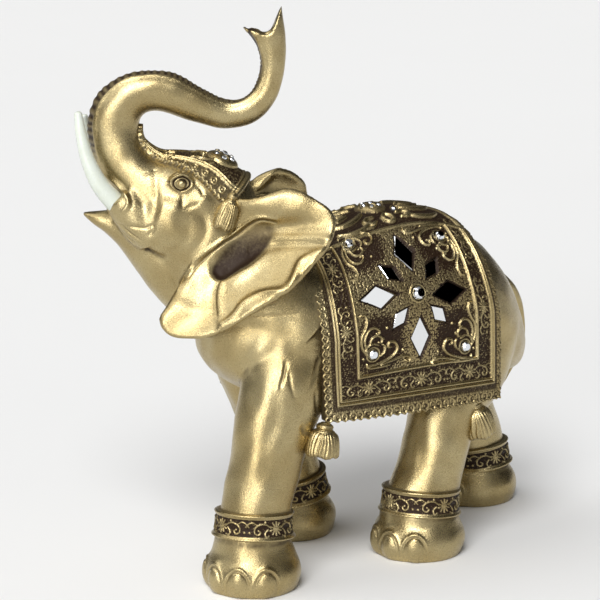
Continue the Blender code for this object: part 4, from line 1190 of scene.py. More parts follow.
    def cut_line(
        self, fold: Fold, path: Array, directions: Array,
        points: Array, normals: Array, lift: Array, wash_and_shade: Array,
    ) -> None:
        """Adds one fold's shape to the lift, and darkens its groove with antiquing and painted shade."""
        reach = fold.width * 3
        near = np.flatnonzero(((points > path.min(0) - reach) & (points < path.max(0) + reach)).all(1))
        if not len(near):
            return
        gap, share, segment = nearest_on_path(points[near], path)
        faces = (normals[near] * directions[segment]).sum(1) > 0.25
        ends = 0.25 + 0.75 * np.sin(math.pi * np.clip(share, 0.02, 0.98)) ** 0.5
        shape = bell(gap, fold.width)
        if fold.mark is Mark.STEP:
            steps = np.diff(path, axis=0)[segment]
            sides = np.cross(directions[segment], steps)
            sides /= np.linalg.norm(sides, axis=1, keepdims=True) + 1e-9
            signed = ((points[near] - path[segment]) * sides).sum(1) / fold.width
            shape = 1.65 * signed * np.exp(-(signed**2) / 1.2) * (gap < reach)
        lift[near] += fold.rise * shape * ends * faces
        dark_wash_and_shade = fold.wash_and_shade * bell(gap, fold.width * 1.15) * ends * faces
        wash_and_shade[near] = np.maximum(wash_and_shade[near], dark_wash_and_shade)

    def cut_hollow(self, path: Array, points: Array, lift: Array, wash_and_shade: Array) -> None:
        """Sinks the ear's hollow and paints shadow into it, darker low down."""
        near = np.flatnonzero(((points > path.min(0) - 9) & (points < path.max(0) + 9)).all(1))
        gap, share, segment = nearest_on_path(points[near], path)
        reach = EAR_HOLLOW_REACH * (0.7 + 0.3 * np.sin(math.pi * share))
        low = np.clip((path[segment, 2] - points[near, 2]) / reach, -1, 1)
        lift[near] -= (1.7 + 0.8 * low) * (1 - 0.75 * share**2) * smooth((1.35 - gap / reach) / 0.9)
        # Painted shadow in the hollow, darkest low down and fading towards its upper end
        dark_wash_and_shade = (0.90 + 0.22 * low - 0.26 * share**2) * smooth((1.30 - gap / reach) / (0.66 - 0.28 * low))
        wash_and_shade[near] = np.maximum(wash_and_shade[near], dark_wash_and_shade)

    def carve_trunk(self, points: Array, lift: Array, wash_and_shade: Array) -> None:
        """Gives the trunk's underside two edges and fine cross ribs, and paints shade over it."""
        head = head_coordinates(points)
        near = np.flatnonzero((head[:, 2] > 158) & (np.abs(head[:, 1]) < 13))
        dense = np.linspace(7.0, len(HEAD) - 1.6, 420)
        spine = rows_at(HEAD, dense)
        run = np.gradient(spine[:, :2], axis=0)
        run /= np.linalg.norm(run, axis=1, keepdims=True)
        flat = head[near][:, [0, 2]]
        best = np.concatenate([
            ((part[:, None] - spine[None, :, :2]) ** 2).sum(2).argmin(1) for part in np.array_split(flat, 24)
        ])
        offset = flat - spine[best, :2]
        crown = -offset[:, 0] * run[best, 1] + offset[:, 1] * run[best, 0]
        radius = spine[best, 4]
        angle = np.abs(np.arctan2(head[near, 1], crown))
        length = path_lengths(spine[:, :2])[best]
        inside = (np.hypot(head[near, 1], crown) < radius + 3) & (dense[best] > TRUNK_OPEN_FROM)
        fade = smooth((dense[best] - TRUNK_OPEN_FROM) / 1.2) * inside
        edge = (angle - TRUNK_EDGE) * radius
        lift[near] += fade * (0.45 * bell(edge, 0.7) - 0.30 * smooth((edge - 0.5) / 1.2))
        ribs = 0.5 + 0.5 * np.sin(math.tau * length / self.rib_pitch + 0.7 * np.sin(length * 0.9))
        lift[near] += fade * 0.36 * (1 - ribs) * smooth((edge - 0.7) / 0.8)
        # Painted shade over the underside, darker in the grooves between the ribs
        wash_and_shade[near] = np.maximum(wash_and_shade[near], fade * smooth((edge - 0.2) / 0.7) * (0.5 + 0.4 * ribs))

    def carve_eye(
        self, place: Array, facing: Array, points: Array, normals: Array, lift: Array, wash_and_shade: Array
    ) -> None:
        """Cuts an almond eye with two lids round its ball."""
        near = np.flatnonzero(np.linalg.norm(points - place, axis=1) < self.eye_radius + 2.6)
        offset = head_coordinates(points[near]) - head_coordinates(place)
        across, up = offset[:, 0], offset[:, 2]
        tilt = math.radians(8)
        x, y = across * math.cos(tilt) + up * math.sin(tilt), up * math.cos(tilt) - across * math.sin(tilt)
        gap = np.hypot(x * 0.95, y * (1.24 + 0.22 * np.abs(x) / self.eye_radius))
        gap = gap + 0.16 * np.sin(2.0 * np.arctan2(y, x) + 0.6)
        above = y / (gap + 0.3)
        shape = (0.5 + 0.25 * above) * bell(gap - self.lid, 0.42) - 0.7 * bell(gap - self.crease, 0.34)
        inner = np.hypot(x + 0.15, y + 0.2)
        crescent = 0.62 + 0.38 * np.cos(np.arctan2(y, x) - 2.2)
        groove = 0.75 * crescent * bell(inner - self.iris_line, 0.34)
        shape += 0.35 * bell(gap - self.inner_lid, 0.36) - groove
        shape += 0.6 * np.sqrt(np.clip(1 - (inner / self.iris) ** 2, 0, 1))
        corner = bell(x - 4.9, 1.1) * bell(y + 0.2, 0.4) + bell(x + 4.6, 0.9) * bell(y - 0.6, 0.4)
        faces = (normals[near] * facing).sum(1) > 0.2
        lift[near] += (shape - 0.45 * corner) * faces
        dark = np.maximum(bell(gap - 3.2, 0.36), crescent * bell(inner - 1.85, 0.34))
        wash_and_shade[near] = np.maximum(wash_and_shade[near], np.maximum(1.1 * dark, 0.9 * corner) * faces)

    def unevenness(self, points: Array) -> Array:
        """The slight waviness of a hand-modelled surface."""
        random = np.random.default_rng(SEED)
        total = np.zeros(len(points))
        for wave in self.waves:
            for _ in range(3):
                direction = random.normal(size=3)
                direction /= np.linalg.norm(direction)
                phase = random.uniform(0, math.tau)
                total += wave / self.waves[0] * np.sin(points @ direction * math.tau / wave + phase)
        return self.wave_height * total

    def recess_wash_and_shade(self, body: Piece) -> Array:
        """Dark brown where the skin is hollow, partly antiquing and partly painted shade in the creases, from how
        far it lies below its own smoothed copy.
        """
        edges = np.empty(len(body.data.edges) * 2, np.int32)
        body.data.edges.foreach_get("vertices", edges)
        first, second = edges[::2], edges[1::2]
        points, normals = get_points(body), get_normals(body)
        count = np.bincount(np.concatenate((first, second)), minlength=len(points))[:, None]
        eased = points.copy()
        for _ in range(22):
            size = len(points)
            total = np.stack([
                np.bincount(first, eased[second, axis], size) + np.bincount(second, eased[first, axis], size)
                for axis in range(3)
            ], -1)
            eased = 0.4 * eased + 0.6 * total / np.maximum(count, 1)
        depth = ((eased - points) * normals).sum(1)
        return 0.85 * smooth((depth - 0.10) / 0.65)

    def trim_wash_and_shade(self, points: Array) -> Array:
        """Dark brown on the skin along the edges of the cloth, the cap and the anklets: painted shade where they
        sit on it, with antiquing.
        """
        angles = np.linspace(0, math.tau, 90)
        rims = [Anklets.rim(name, angles, side) for name in LEGS for side in (-1, 1)]
        rims += [SaddleCloth.edge_line(edge) for edge in (0.0, 1.0)]
        rims += [Cap.edge_line(side) for side in (-1, 1)]
        tree = search_tree(np.concatenate(rims))
        gaps = np.array([tree.find(place)[2] for place in points])
        return 0.72 * bell(gaps, 1.5)

    def build(self, material: Finish) -> None:
        """Builds and dresses the hide."""
        self.lay_out()
        body = self.fuse()
        self.carve(body)
        total = triangle_count(body)
        if total > self.most_triangles:
            apply_modifier(body, "DECIMATE", ratio=self.most_triangles / total)
        finish_piece(body, material, ["elephant_casting"])


@dataclass(frozen=True)
class Seat:
    """Where a glued piece sits: its middle, its directions in drawn millimetres, and its reach along them."""

    middle: Array
    axes: Array
    reach: Array

    @classmethod
    def of(cls, node: str) -> "Seat":
        """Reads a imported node's seat from its mesh; the last direction points outwards."""
        points = np.unique(get_points(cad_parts[node]).round(4), axis=0)
        middle = points.mean(0)
        _, _, axes = np.linalg.svd(points - middle)
        outward = axes[2]
        side = middle[1] if abs(middle[1]) > 12 and "cap" not in node else 0.0
        if (outward[1] * side if side else outward[2]) < 0:
            outward = -outward
        axes = np.array([axes[0], np.cross(outward, axes[0]), outward])
        return cls(middle, axes, np.abs((points - middle) @ axes.T).max(0))

    def local(self, points: Array) -> Array:
        """Points in the seat's own directions."""
        return (points - self.middle) @ self.axes.T


MIRROR_NODES = sorted(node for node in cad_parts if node.startswith("mirror"))
STONE_NODES = sorted(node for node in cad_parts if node.startswith("stone"))


def press_seats(points: Array, wash_and_shade: Array) -> None:
    """Sinks a surface below the mirrors and the stones, and paints shade on the walls round them.

    Args:
        points: the surface's drawn points, changed in place.
        wash_and_shade: how dark it is painted, changed in place.
    """
    flat, dark_wash_and_shade = points.reshape(-1, 3), wash_and_shade.reshape(-1)
    for node in MIRROR_NODES + STONE_NODES:
        seat = Seat.of(node)
        near = np.flatnonzero((np.abs(flat - seat.middle) < 12).all(1))
        if not len(near):
            continue
        x, y, z = seat.local(flat[near]).T
        if node in MIRROR_NODES:
            size = np.hypot(seat.reach[0], seat.reach[1]) / (seat.reach[0] * seat.reach[1])
            edge = (1 - np.abs(x) / seat.reach[0] - np.abs(y) / seat.reach[1]) / size
            floor = -seat.reach[2] - 0.3
            sunk, dark = edge > -0.35, smooth((edge + 0.75) / 0.3)
        else:
            edge = seat.reach[0] - np.hypot(x, y)
            floor = -seat.reach[2] - 0.1
            sunk, dark = edge > -0.12, 0.8 * smooth((edge + 0.35) / 0.2)
        close = np.abs(z) < 4
        drop = np.where(sunk & close, np.minimum(floor - z, 0.0), 0.0)
        flat[near] += drop[:, None] * seat.axes[2]
        # Painted shade on the walls of the pockets
        dark_wash_and_shade[near] = np.maximum(dark_wash_and_shade[near], dark * close)


@dataclass
class SaddleCloth:
    """The framed saddle cloth, in a panel for each side and one over the back."""

    length: float = 84.0
    front: float = -3.0
    hem: float = 62.0
    hem_drop: float = 0.038
    stand: float = 2.0
    skirt: float = 4.4
    outer: float = 6.3
    inner: float = 14.7
    hem_outer: float = 8.3
    hem_inner: float = 18.1
    rear_gain: float = 1.2
    upper_drop: float = 18.5
    # The lace: pitch of its scallops, its rings and its cord
    scallop: float = 3.3
    ring_inset: float = 1.75
    ring_radius: float = 1.2
    cord_inset: float = 3.3
    flower_place: float = 39.4
    # The carving's distances from the lines: a line's half gap, the field, the crown and the lace
    line_half: float = 0.62
    field_gap: float = 0.7
    crown_gap: float = 1.0
    lace_gap: float = 1.2
    # The dome under the back's stones
    boss_rise: float = 2.9
    boss_radius: float = 6.6
    pitches: tuple[float, float, float] = (0.285, 0.40, 0.46)

    # Where the small blossoms stand: along the hem, and up the two sides
    HEM_BLOSSOMS = (19.2, 43.0, 66.8)
    SIDE_BLOSSOMS = (38.5, 66.5)
    # A distance deep inside every edge
    DEEP = 99.0
    # How far the front and rear edges sway: share of the way up, front, rear
    SWAY = ((0.0, 0.0, 0.0), (0.35, -1.5, -0.8), (0.55, -0.5, -3.0), (0.75, 2.6, -4.0), (1.0, 6.0, -3.0))

    def __post_init__(self) -> None:
        """Lays out the cloth's sections over the back."""
        self.sections = np.arange(-14.0, 96.0, 0.5)
        self.shares = np.linspace(0, 1, 401)
        angles = math.pi * (1 - np.linspace(0, 1, 241))
        rows, self.totals = [], []
        for x in self.sections:
            arch = torso_surface(np.full(241, x), angles, self.stand)
            left, right = arch[0].copy(), arch[-1].copy()
            left[2] = right[2] = self.hem - self.hem_drop * (x - self.front)
            line = np.concatenate(([left], arch, [right]))
            runs = path_lengths(line)
            self.totals.append(runs[-1])
            wanted = self.shares * runs[-1]
            rows.append(np.stack([np.interp(wanted, runs, line[:, axis]) for axis in (1, 2)], -1))
        self.table = np.array(rows)
        self.total = float(np.interp(self.flower_place, self.sections, self.totals))
        self.upper = self.total / 2 - self.upper_drop

    def x_of(self, u: Array, up: Array) -> Array:
        """How far along the elephant a place of the cloth lies; the edges sway on the way up."""
        share = np.clip(np.minimum(up, self.total - up) / (self.total / 2), 0, 1)
        dense = np.linspace(0, len(self.SWAY) - 1, 300)
        rows = rows_at(self.SWAY, dense)
        fore, aft = np.interp(share, rows[:, 0], rows[:, 1]), np.interp(share, rows[:, 0], rows[:, 2])
        return self.front + fore + u / self.length * (self.length + aft - fore)

    def surface(self, u: Array, up: Array) -> Array:
        """Points of the flat cloth over the body."""
        x = self.x_of(u, up)
        i = np.clip((x - self.sections[0]) / 0.5, 0, len(self.sections) - 1.001)
        j = np.clip(up / self.total, 0, 1) * (len(self.shares) - 1.001)
        i0, j0 = i.astype(int), j.astype(int)
        fi, fj = (i - i0)[..., None], (j - j0)[..., None]
        t = self.table
        near, far = (t[i0, j] * (1 - fi) + t[i0 + 1, j] * fi for j in (j0, j0 + 1))
        yz = near * (1 - fj) + far * fj
        return np.concatenate((x[..., None], yz), -1)

    @classmethod
    def edge_line(cls, share: float) -> Array:
        """The front (0) or rear (1) edge of the cloth."""
        cloth = cls()
        up = np.linspace(0, cloth.total, 160)
        return cloth.surface(np.full(160, share * cloth.length), up)

    def upper_line(self, u: Array) -> Array:
        """How far above the hem the line under the back's panel lies; it dips towards the rear."""
        turn, rear_run, fore_rise, rear_dip = 46, 38, 2.4, 3.0
        fore, aft = np.clip(1 - u / turn, 0, 1), np.clip((u - turn) / rear_run, 0, 1)
        return self.upper + fore_rise * fore - rear_dip * aft**1.5

    def insets(self, u: Array, up: Array) -> tuple[Array, Array]:
        """How far each place lies inside the front and rear edges, and inside all of them in frame widths."""
        side = np.minimum(u, self.length - u + self.rear_gain)
        beyond = 200.0
        steps = (0.0, self.hem_outer, self.hem_inner, beyond)
        rise = np.interp(up, steps, (0.0, self.outer, self.inner, beyond - self.hem_inner + self.inner))
        return side, np.minimum(side, rise)

    def side_relief(self, u: Array, up: Array) -> tuple[Array, Array]:
        """The carving of a side panel.

        Args:
            u: how far back each place lies from the front edge.
            up: how far it lies above the hem.

        Returns:
            The height of the carving and its wash.
        """
        relief = Relief(u, up)
        side, inset = self.insets(u, up)
        upper = self.upper_line(u)
        below = up < upper
        under = up < upper - self.field_gap
        field = (inset > self.inner + self.field_gap) & under
        band = (inset > self.outer + self.crown_gap) & (inset < self.inner - self.field_gap) & under
        relief.grains(0.80, 0.42, field, 3)
        relief.grains(0.85, 0.42, band, 5)
        relief.grains(0.8, 0.36, inset < self.outer - self.lace_gap, 7)
        for offset in (-self.line_half, self.line_half):
            relief.ridge(np.abs(inset - self.outer - offset), 0.5, 1.0, np.ones(u.shape, bool))
        relief.ridge(np.abs(inset - self.inner), 0.6, 1.05, below)
        relief.ridge(np.abs(up - upper), 0.72, 1.1, side > self.outer)
        self.trim(relief, u, up, side, inset)
        middle, band_middle = self.length / 2, (self.outer + self.inner) / 2
        for spot in self.HEM_BLOSSOMS:
            relief.blossom((spot, (self.hem_outer + self.hem_inner) / 2), 0.0, 1.05)
        for across in (band_middle, self.length + self.rear_gain - band_middle):
            for spot in self.SIDE_BLOSSOMS:
                relief.blossom((across, spot), math.pi / 2, 0.96)
        corners = np.full(u.shape, self.DEEP)
        for node in STONE_NODES:
            if "_left_corner" in node or "_left_centre" in node:
                seat = Seat.of(node)
                place = self.place_of(seat.middle)
                if "corner" in node:
                    hand = (1 if place[0] < middle else -1, 1 if place[1] < self.upper / 2 else -1)
                    relief.scrolls(place, hand, 1.15)
                    away = np.hypot(u - place[0] - 2.5 * hand[0], up - place[1] - 3.5 * hand[1])
                    corners = np.minimum(corners, away)
                gap = np.hypot(u - place[0], up - place[1]) - seat.reach[0]
                relief.ridge(np.abs(gap - 0.62), 0.42, 0.5, np.abs(gap) < 2)
        self.leaves(relief, self.total / 2, up > upper + 0.6)
        crown = (side > self.outer + self.crown_gap) & (up > upper + 0.8)
        relief.grains(0.95, 0.36, crown, 9)
        height = relief.grid()
        ground = np.where(field | band, -0.3, 0.0)
        zone = smooth((14.5 - corners) / 7.0)
        low = np.where(field, 0.05 + 0.16 * zone, np.where(band, 0.12, 0.10))
        high = np.where(field, 0.19 + 0.35 * zone, np.where(band, 0.46, 0.56))
        wash_and_shade = 1 - smooth((height - low) / (high - low))
        wash_and_shade *= np.where(field, 0.95, 0.97)
        wash_and_shade = np.where(inset < self.outer - self.lace_gap, wash_and_shade * 0.85, wash_and_shade)
        return height + ground, wash_and_shade

    def trim(self, relief: Relief, u: Array, up: Array, side: Array, inset: Array) -> None:
        """The lace trim outside the frame: a chain of scallops with beads and a cord."""
        outside = inset < self.outer - self.lace_gap
        run = np.where(up <= side, u, up)
        run = run + 0.35 * np.sin(run * 0.9) + 0.2 * np.sin(run * 2.3)
        phase = run % self.scallop - self.scallop / 2
        ring = np.abs(np.hypot(phase, (inset - self.ring_inset) * 1.1) - self.ring_radius)
        relief.ridge(ring, 0.34, 0.62, outside & (inset > 0.9))
        relief.ridge(np.hypot(phase, inset - 1.8), 0.5, 0.5, outside)
        lip = 0.55 + 0.34 * np.cos(math.tau * run / self.scallop)
        relief.ridge(np.abs(inset - lip), 0.5, 0.8, outside)
        twist = 0.38 + 0.2 * np.sin(math.tau * run / 1.15)
        relief.ridge(np.abs(inset - self.cord_inset), 0.36, twist, outside)

    def leaves(self, relief: Relief, crest: float, where: Array) -> None:
        """Broad smooth leaves over the back, on both sides of the crest, where asked."""
        boss = self.boss_place()
        grown = Relief(relief.places[:, 0], relief.places[:, 1])
        for controls, width in BACK_LEAVES:
            for way in (-1, 1):
                for hand in (-1, 1):
                    path = np.array(controls) * (hand, way) + (boss[0], crest)
                    grown.stroke(path, width, 1.5, 0.55)
        relief.height = np.maximum(relief.height, grown.height * where.ravel())

    def boss_place(self) -> Array:
        """The middle of the back's stones on the cloth."""
        middles = [Seat.of(node).middle for node in STONE_NODES if "_back_" in node]
        return self.place_of(np.mean(middles, axis=0))

    def place_of(self, point: Array) -> Array:
        """The cloth's own place nearest to a drawn point."""
        u, up = np.meshgrid(np.linspace(0, self.length, 169), np.linspace(0, self.total, 405), indexing="ij")
        gaps = np.linalg.norm(self.surface(u, up) - point, axis=-1)
        best = np.unravel_index(gaps.argmin(), gaps.shape)
        return np.array([u[best], up[best]])

    def back_relief(self, u: Array, up: Array) -> tuple[Array, Array]:
        """The carving over the back: broad gilded leaves round a boss of stones.

        Args:
            u: how far back each place lies from the front edge.
            up: how far it lies along the cloth from the left hem.

        Returns:
            The height of the carving and its wash.
        """
        crest = up - self.total / 2
        relief = Relief(u, crest)
        side, _ = self.insets(u, np.full(u.shape, self.DEEP))
        inside = side > self.outer + self.crown_gap
        relief.grains(0.95, 0.36, inside, 11)
        relief.grains(0.8, 0.3, side < self.outer - self.lace_gap, 13)
        for offset in (-self.line_half, self.line_half):
            relief.ridge(np.abs(side - self.outer - offset), 0.52, 1.0, np.ones(u.shape, bool))
        self.trim(relief, u, np.full(u.shape, self.DEEP), side, side)
        boss = self.boss_place()
        self.leaves(relief, 0.0, inside)
        gap = np.hypot(u - boss[0], crest)
        dome = self.boss_rise * np.sqrt(np.clip(1 - (gap / self.boss_radius) ** 2, 0, 1))
        height = np.maximum(relief.grid(), dome.reshape(u.shape))
        wash_and_shade = 0.97 * (1 - smooth((height - 0.10) / 0.52))
        wash_and_shade = np.maximum(wash_and_shade, 0.6 * (gap < 6.4) * smooth((2.0 - height) / 1.0))
        return height - 0.2 * inside, wash_and_shade

    def panel(self, name: str, start: float, end: float, pitch: float) -> Piece:
        """One closed panel of the cloth.

        Args:
            name: the piece's name.
            start: how far up the cloth it begins.
            end: where it ends.
            pitch: the size of its faces.

        Returns:
            The mesh object.
        """
        across = np.linspace(0, self.length, int(self.length / pitch))
        along = np.linspace(start, end, int((end - start) / pitch))
        u, up = np.meshgrid(across, along, indexing="ij")
        if name.endswith("back"):
            height, wash_and_shade = self.back_relief(u, up)
        else:
            height, wash_and_shade = self.side_relief(u, np.minimum(up, self.total - up))
        wave = 0.32 * (1 + np.cos(math.tau * up / self.scallop))
        hem_wave = 0.32 * (1 + np.cos(math.tau * u / self.scallop))
        edge = smooth(1 - np.minimum(u, self.length - u) / 1.6) * np.sign(u - self.length / 2)
        hem = smooth(1 - np.minimum(up, self.total - up) / 1.6) * np.sign(up - self.total / 2)
        base = self.surface(u - edge * wave, np.clip(up - hem * hem_wave, 0, self.total))
        normal = np.cross(np.gradient(base, axis=0), np.gradient(base, axis=1))
        normal /= np.linalg.norm(normal, axis=-1, keepdims=True)
        front = base + normal * height[..., None]
        press_seats(front, wash_and_shade)
        back = np.linspace(len(along) - 1, 0, 8).astype(int)
        inner = (base - normal * self.skirt)[:, back]
        points = np.concatenate((front, inner), 1)
        dark_wash_and_shade = np.concatenate((wash_and_shade, np.full(inner.shape[:2], 0.6)), 1)
        return sheet(name, points, dark_wash_and_shade, ring=True)

    def build(self, material: Finish) -> None:
        """Builds and dresses the three panels."""
        seam = self.upper + 4.4
        spans = ((0.0, seam), (seam, self.total - seam), (self.total - seam, self.total))
        for name, (start, end), pitch in zip(("left", "back", "right"), spans, self.pitches):
            obj = self.panel(f"saddle_cloth_{name}", start, end, pitch)
            finish_piece(obj, material, ["elephant_casting"])


# Leaves over the back, from the boss backwards and down: path, width
BACK_LEAVES = (
    (((8.5, 4.0), (13.5, 6.5), (20.0, 7.6), (26.0, 5.2)), 3.2),
    (((9.0, 12.0), (14.0, 14.6), (20.5, 14.8), (25.5, 12.6)), 2.8),
    (((6.0, 9.6), (9.4, 9.2), (11.4, 11.4), (9.4, 13.6), (6.6, 13.2)), 2.2),
    (((14.0, 1.2), (19.0, 2.2), (23.5, 1.4)), 2.0),
    (((0.0, 9.0), (2.2, 11.4), (1.6, 14.6), (0.0, 15.6)), 2.2),
)


@dataclass
class Cap:
    """The pointed cap over the brow, with a lace edge, a double line, scrolls and a rolled rim."""

    stand: float = 1.3
    line_share: float = 0.63
    # How much thinner it is at its lower end, and the stations over which it thins
    thinning: float = 0.7
    thin_start: float = 6.6
    thin_span: float = 2.2
    rim_depth: float = 2.4
    lace_pitch: float = 4.6
    line_half: float = 0.6
    # The dome under its stones
    boss_rise: float = 2.8
    boss_radius: float = 6.8
    columns: int = 150
    stations: int = 300

    # Where the scrolls stand along the crest, and their size
    SCROLLS = ((19.0, 0.82), (33.0, 0.62), (45.0, 0.5))
    # Stations of the head, and the cap's half spread there in degrees
    ROWS = (
        (4.0, 52.0),
        (4.4, 55.0),
        (5.2, 48.0),
        (6.0, 39.0),
        (6.8, 33.0),
        (7.4, 29.0),
        (8.0, 25.0),
        (8.6, 21.0),
        (9.1, 13.0),
        (9.3, 4.0),
    )

    @classmethod
    def half_angle(cls, place: Array) -> Array:
        """Half the cap's spread at a station of the head."""
        dense = rows_at(cls.ROWS, np.linspace(0, len(cls.ROWS) - 1, 500))
        return np.radians(np.interp(place, dense[:, 0], dense[:, 1]))

    @classmethod
    def edge_line(cls, side: int) -> Array:
        """One long edge of the cap."""
        place = np.linspace(cls.ROWS[0][0], cls.ROWS[-1][0], 120)
        return head_surface(place, side * cls.half_angle(place), 0.6)

    def build(self, material: Finish) -> None:
        """Builds and dresses the cap."""
        place, share = np.meshgrid(
            np.linspace(self.ROWS[0][0], self.ROWS[-1][0], self.stations),
            np.linspace(-1, 1, self.columns),
            indexing="ij",
        )
        half = self.half_angle(place)
        fade = 1.0 - self.thinning * np.clip((place - self.thin_start) / self.thin_span, 0.0, 1.0)
        base = head_surface(place, share * half, self.stand * fade)
        middle = self.columns // 2
        run = path_lengths(base[:, middle])
        wide = np.linalg.norm(np.diff(base, axis=1), axis=2).sum(1) / 2
        along, across = run[:, None] + 0 * share, share * wide[:, None]
        edge = (1 - np.abs(share)) * wide[:, None]
        relief = Relief(across, along)
        band = np.clip(wide[:, None] * (1 - self.line_share), 1.4, 7.0) + 0 * share
        lace, crown = edge < band - 1.1, edge > band + 1.1
        relief.grains(0.8, 0.3, lace & (along > self.rim_depth), 15)
        relief.grains(0.85, 0.42, crown & (along > self.rim_depth), 17)
        for offset in (-self.line_half, self.line_half):
            relief.ridge(np.abs(edge - band - offset), 0.48, 1.0, along > 1.5)
        relief.ridge(np.abs(along - 1.3), 1.25, 1.5, np.abs(share) < 0.97)
        relief.ridge(np.abs(along - 3.1), 0.45, 0.8, np.abs(share) < 0.97)
        phase = along % self.lace_pitch - self.lace_pitch / 2
        heart = np.hypot(phase, edge - band * 0.48)
        relief.ridge(np.abs(heart - 1.2), 0.34, 0.6, lace)
        relief.ridge(heart, 0.5, 0.5, lace)
        wave = 0.4 * np.cos(math.tau * along / (self.lace_pitch / 2))
        relief.ridge(np.abs(edge - 0.6 - wave), 0.45, 0.8, lace)
        for spot, size in self.SCROLLS:
            for hand in (-1, 1):
                for path, width, extra, rise, taper in CAP_STROKES:
                    relief.stroke(path * (hand * size, size) + (0, spot), width * size + extra, rise, taper)
        boss = np.mean([Seat.of(node).middle for node in STONE_NODES if "_cap_" in node], axis=0)
        gap = np.linalg.norm(base - boss, axis=-1)
        dome = self.boss_rise * np.sqrt(np.clip(1 - (gap / self.boss_radius) ** 2, 0, 1))
        height = np.maximum(relief.grid(), dome)
        wash_and_shade = 0.97 * (1 - smooth((height - 0.08) / 0.36)) * np.where(lace, 0.72, 1.0)
        wash_and_shade = np.where(along < self.rim_depth, 0.15, wash_and_shade)
        normal = np.cross(np.gradient(base, axis=0), np.gradient(base, axis=1))
        normal /= np.linalg.norm(normal, axis=-1, keepdims=True)
        front = base + normal * (height - 0.25 * crown)[..., None]
        press_seats(front, wash_and_shade)
        under = head_surface(place[:, :6], np.linspace(1, -1, 6)[None, :] * half[:, :6], -3.0)
        points = np.concatenate((front, under), 1)
        obj = sheet("brow_cap", points, np.concatenate((wash_and_shade, np.full(under.shape[:2], 0.5)), 1), ring=True)
        finish_piece(obj, material, ["elephant_casting"])


# The cap's scrolls and leaf, forward from its stones and out from its crest
CAP_VOLUTE = np.array(
    ((0.8, -6.0), (4.4, -5.2), (7.6, -2.4), (8.2, 1.4), (6.0, 4.0),
     (3.2, 3.4), (2.6, 1.0), (4.4, 0.0), (5.2, 1.2))
)
CAP_CURL = np.array(((0.8, -3.6), (0.6, 0.4), (1.2, 4.0), (3.8, 6.6), (6.4, 6.2), (6.8, 4.6)))
CAP_LEAF = np.array(((9.4, -4.6), (11.6, -1.6), (11.4, 2.4)))
# The cap's strokes: path, width at full size, width added, height, taper
CAP_STROKES = (
    (CAP_VOLUTE, 1.15, 0.2, 1.05, 0.4),
    (CAP_CURL, 1.0, 0.2, 0.95, 0.4),
    (CAP_LEAF, 1.4, 0.0, 1.1, 0.6),
)


@dataclass
class Anklets:
    """The four carved bands above the feet."""

    tall: float = 10.4
    stand: float = 1.6
    ankle_radius: float = 13.8
    # Half the carved band's height, and how far up and down its two lines lie
    carved_half: float = 3.6
    outer_line: float = 4.45
    inner_line: float = 3.55
    flare: float = 0.9
    columns: int = 300
    rows: int = 42

    # Station of the leg, how far the band is levelled, and how far it leans back
    PLACES = {
        "front_left": (4.6, 0.7, 0.11),
        "front_right": (4.85, 0.2, 0.0),
        "rear_left": (4.72, 0.8, 0.06),
        "rear_right": (4.92, 0.0, 0.13),
    }

    @classmethod
    def rim(cls, name: str, angles: Array, side: int) -> Array:
        """The upper (-1) or lower (1) edge of a band, on the leg's skin."""
        place, level, _ = cls.PLACES[name]
        return leg_surface(name, place, angles, 0.4, side * cls.tall / 2, level)

    def build(self, material: Finish) -> None:
        """Builds and dresses the bands."""
        angles = np.linspace(0, math.tau, self.columns, endpoint=False)
        rise = np.linspace(-0.5, 0.5, self.rows) * self.tall
        girth = math.tau * (self.ankle_radius + self.stand)
        towards = camera_axes()[2] * (1, 1, 0)
        run, high = np.meshgrid(angles / math.tau * girth, rise, indexing="ij")
        for name, (place, level, lean) in self.PLACES.items():
            relief = Relief(run, high)
            inside = np.abs(high) < self.carved_half
            relief.grains(0.85, 0.36, inside, 19)
            for line, width, tip in ((self.outer_line, 0.75, 0.95), (self.inner_line, 0.34, 0.5)):
                relief.ridge(np.abs(np.abs(high) - line), width, tip, np.ones(run.shape, bool))
            for step in range(4):
                relief.blossom(((step + 0.5) * girth / 4, 0.0), 0.0, 1.04, 0.75)
            height = relief.grid() + self.stand - 0.95
            height -= 0.5 * smooth((np.abs(high) - 4.8) / 0.4) - self.flare * smooth(-high / self.tall * 2)
            grooves = 0.98 * (1 - smooth((relief.grid() - 0.12) / 0.4))
            wash_and_shade = np.where(inside, grooves, 0.25 * (np.abs(high) < 3.9))
            # Darker at the band's rims where it meets the leg: painted shade, with antiquing
            wash_and_shade = np.maximum(wash_and_shade, 0.6 * smooth((np.abs(high) - 4.9) / 0.3))
            turn = angles[:, None] + math.pi / 4
            outer = leg_surface(name, place, turn, height, -high, level)
            slides = np.array([-0.5, 0.0, 0.5])[None, :] * self.tall
            inner = leg_surface(name, place, turn, np.full((1, 3), -3.0), slides, level)
            points = np.concatenate((outer, inner), 1)
            middle = points.reshape(-1, 3).mean(0)
            points[..., 2] += lean * ((points - middle) @ towards)
            dark_wash_and_shade = np.concatenate((wash_and_shade, np.full(inner.shape[:2], 0.5)), 1)
            obj = sheet(f"anklet_{name}", points, dark_wash_and_shade, ring=True, loop=True)
            finish_piece(obj, material, ["elephant_casting"])


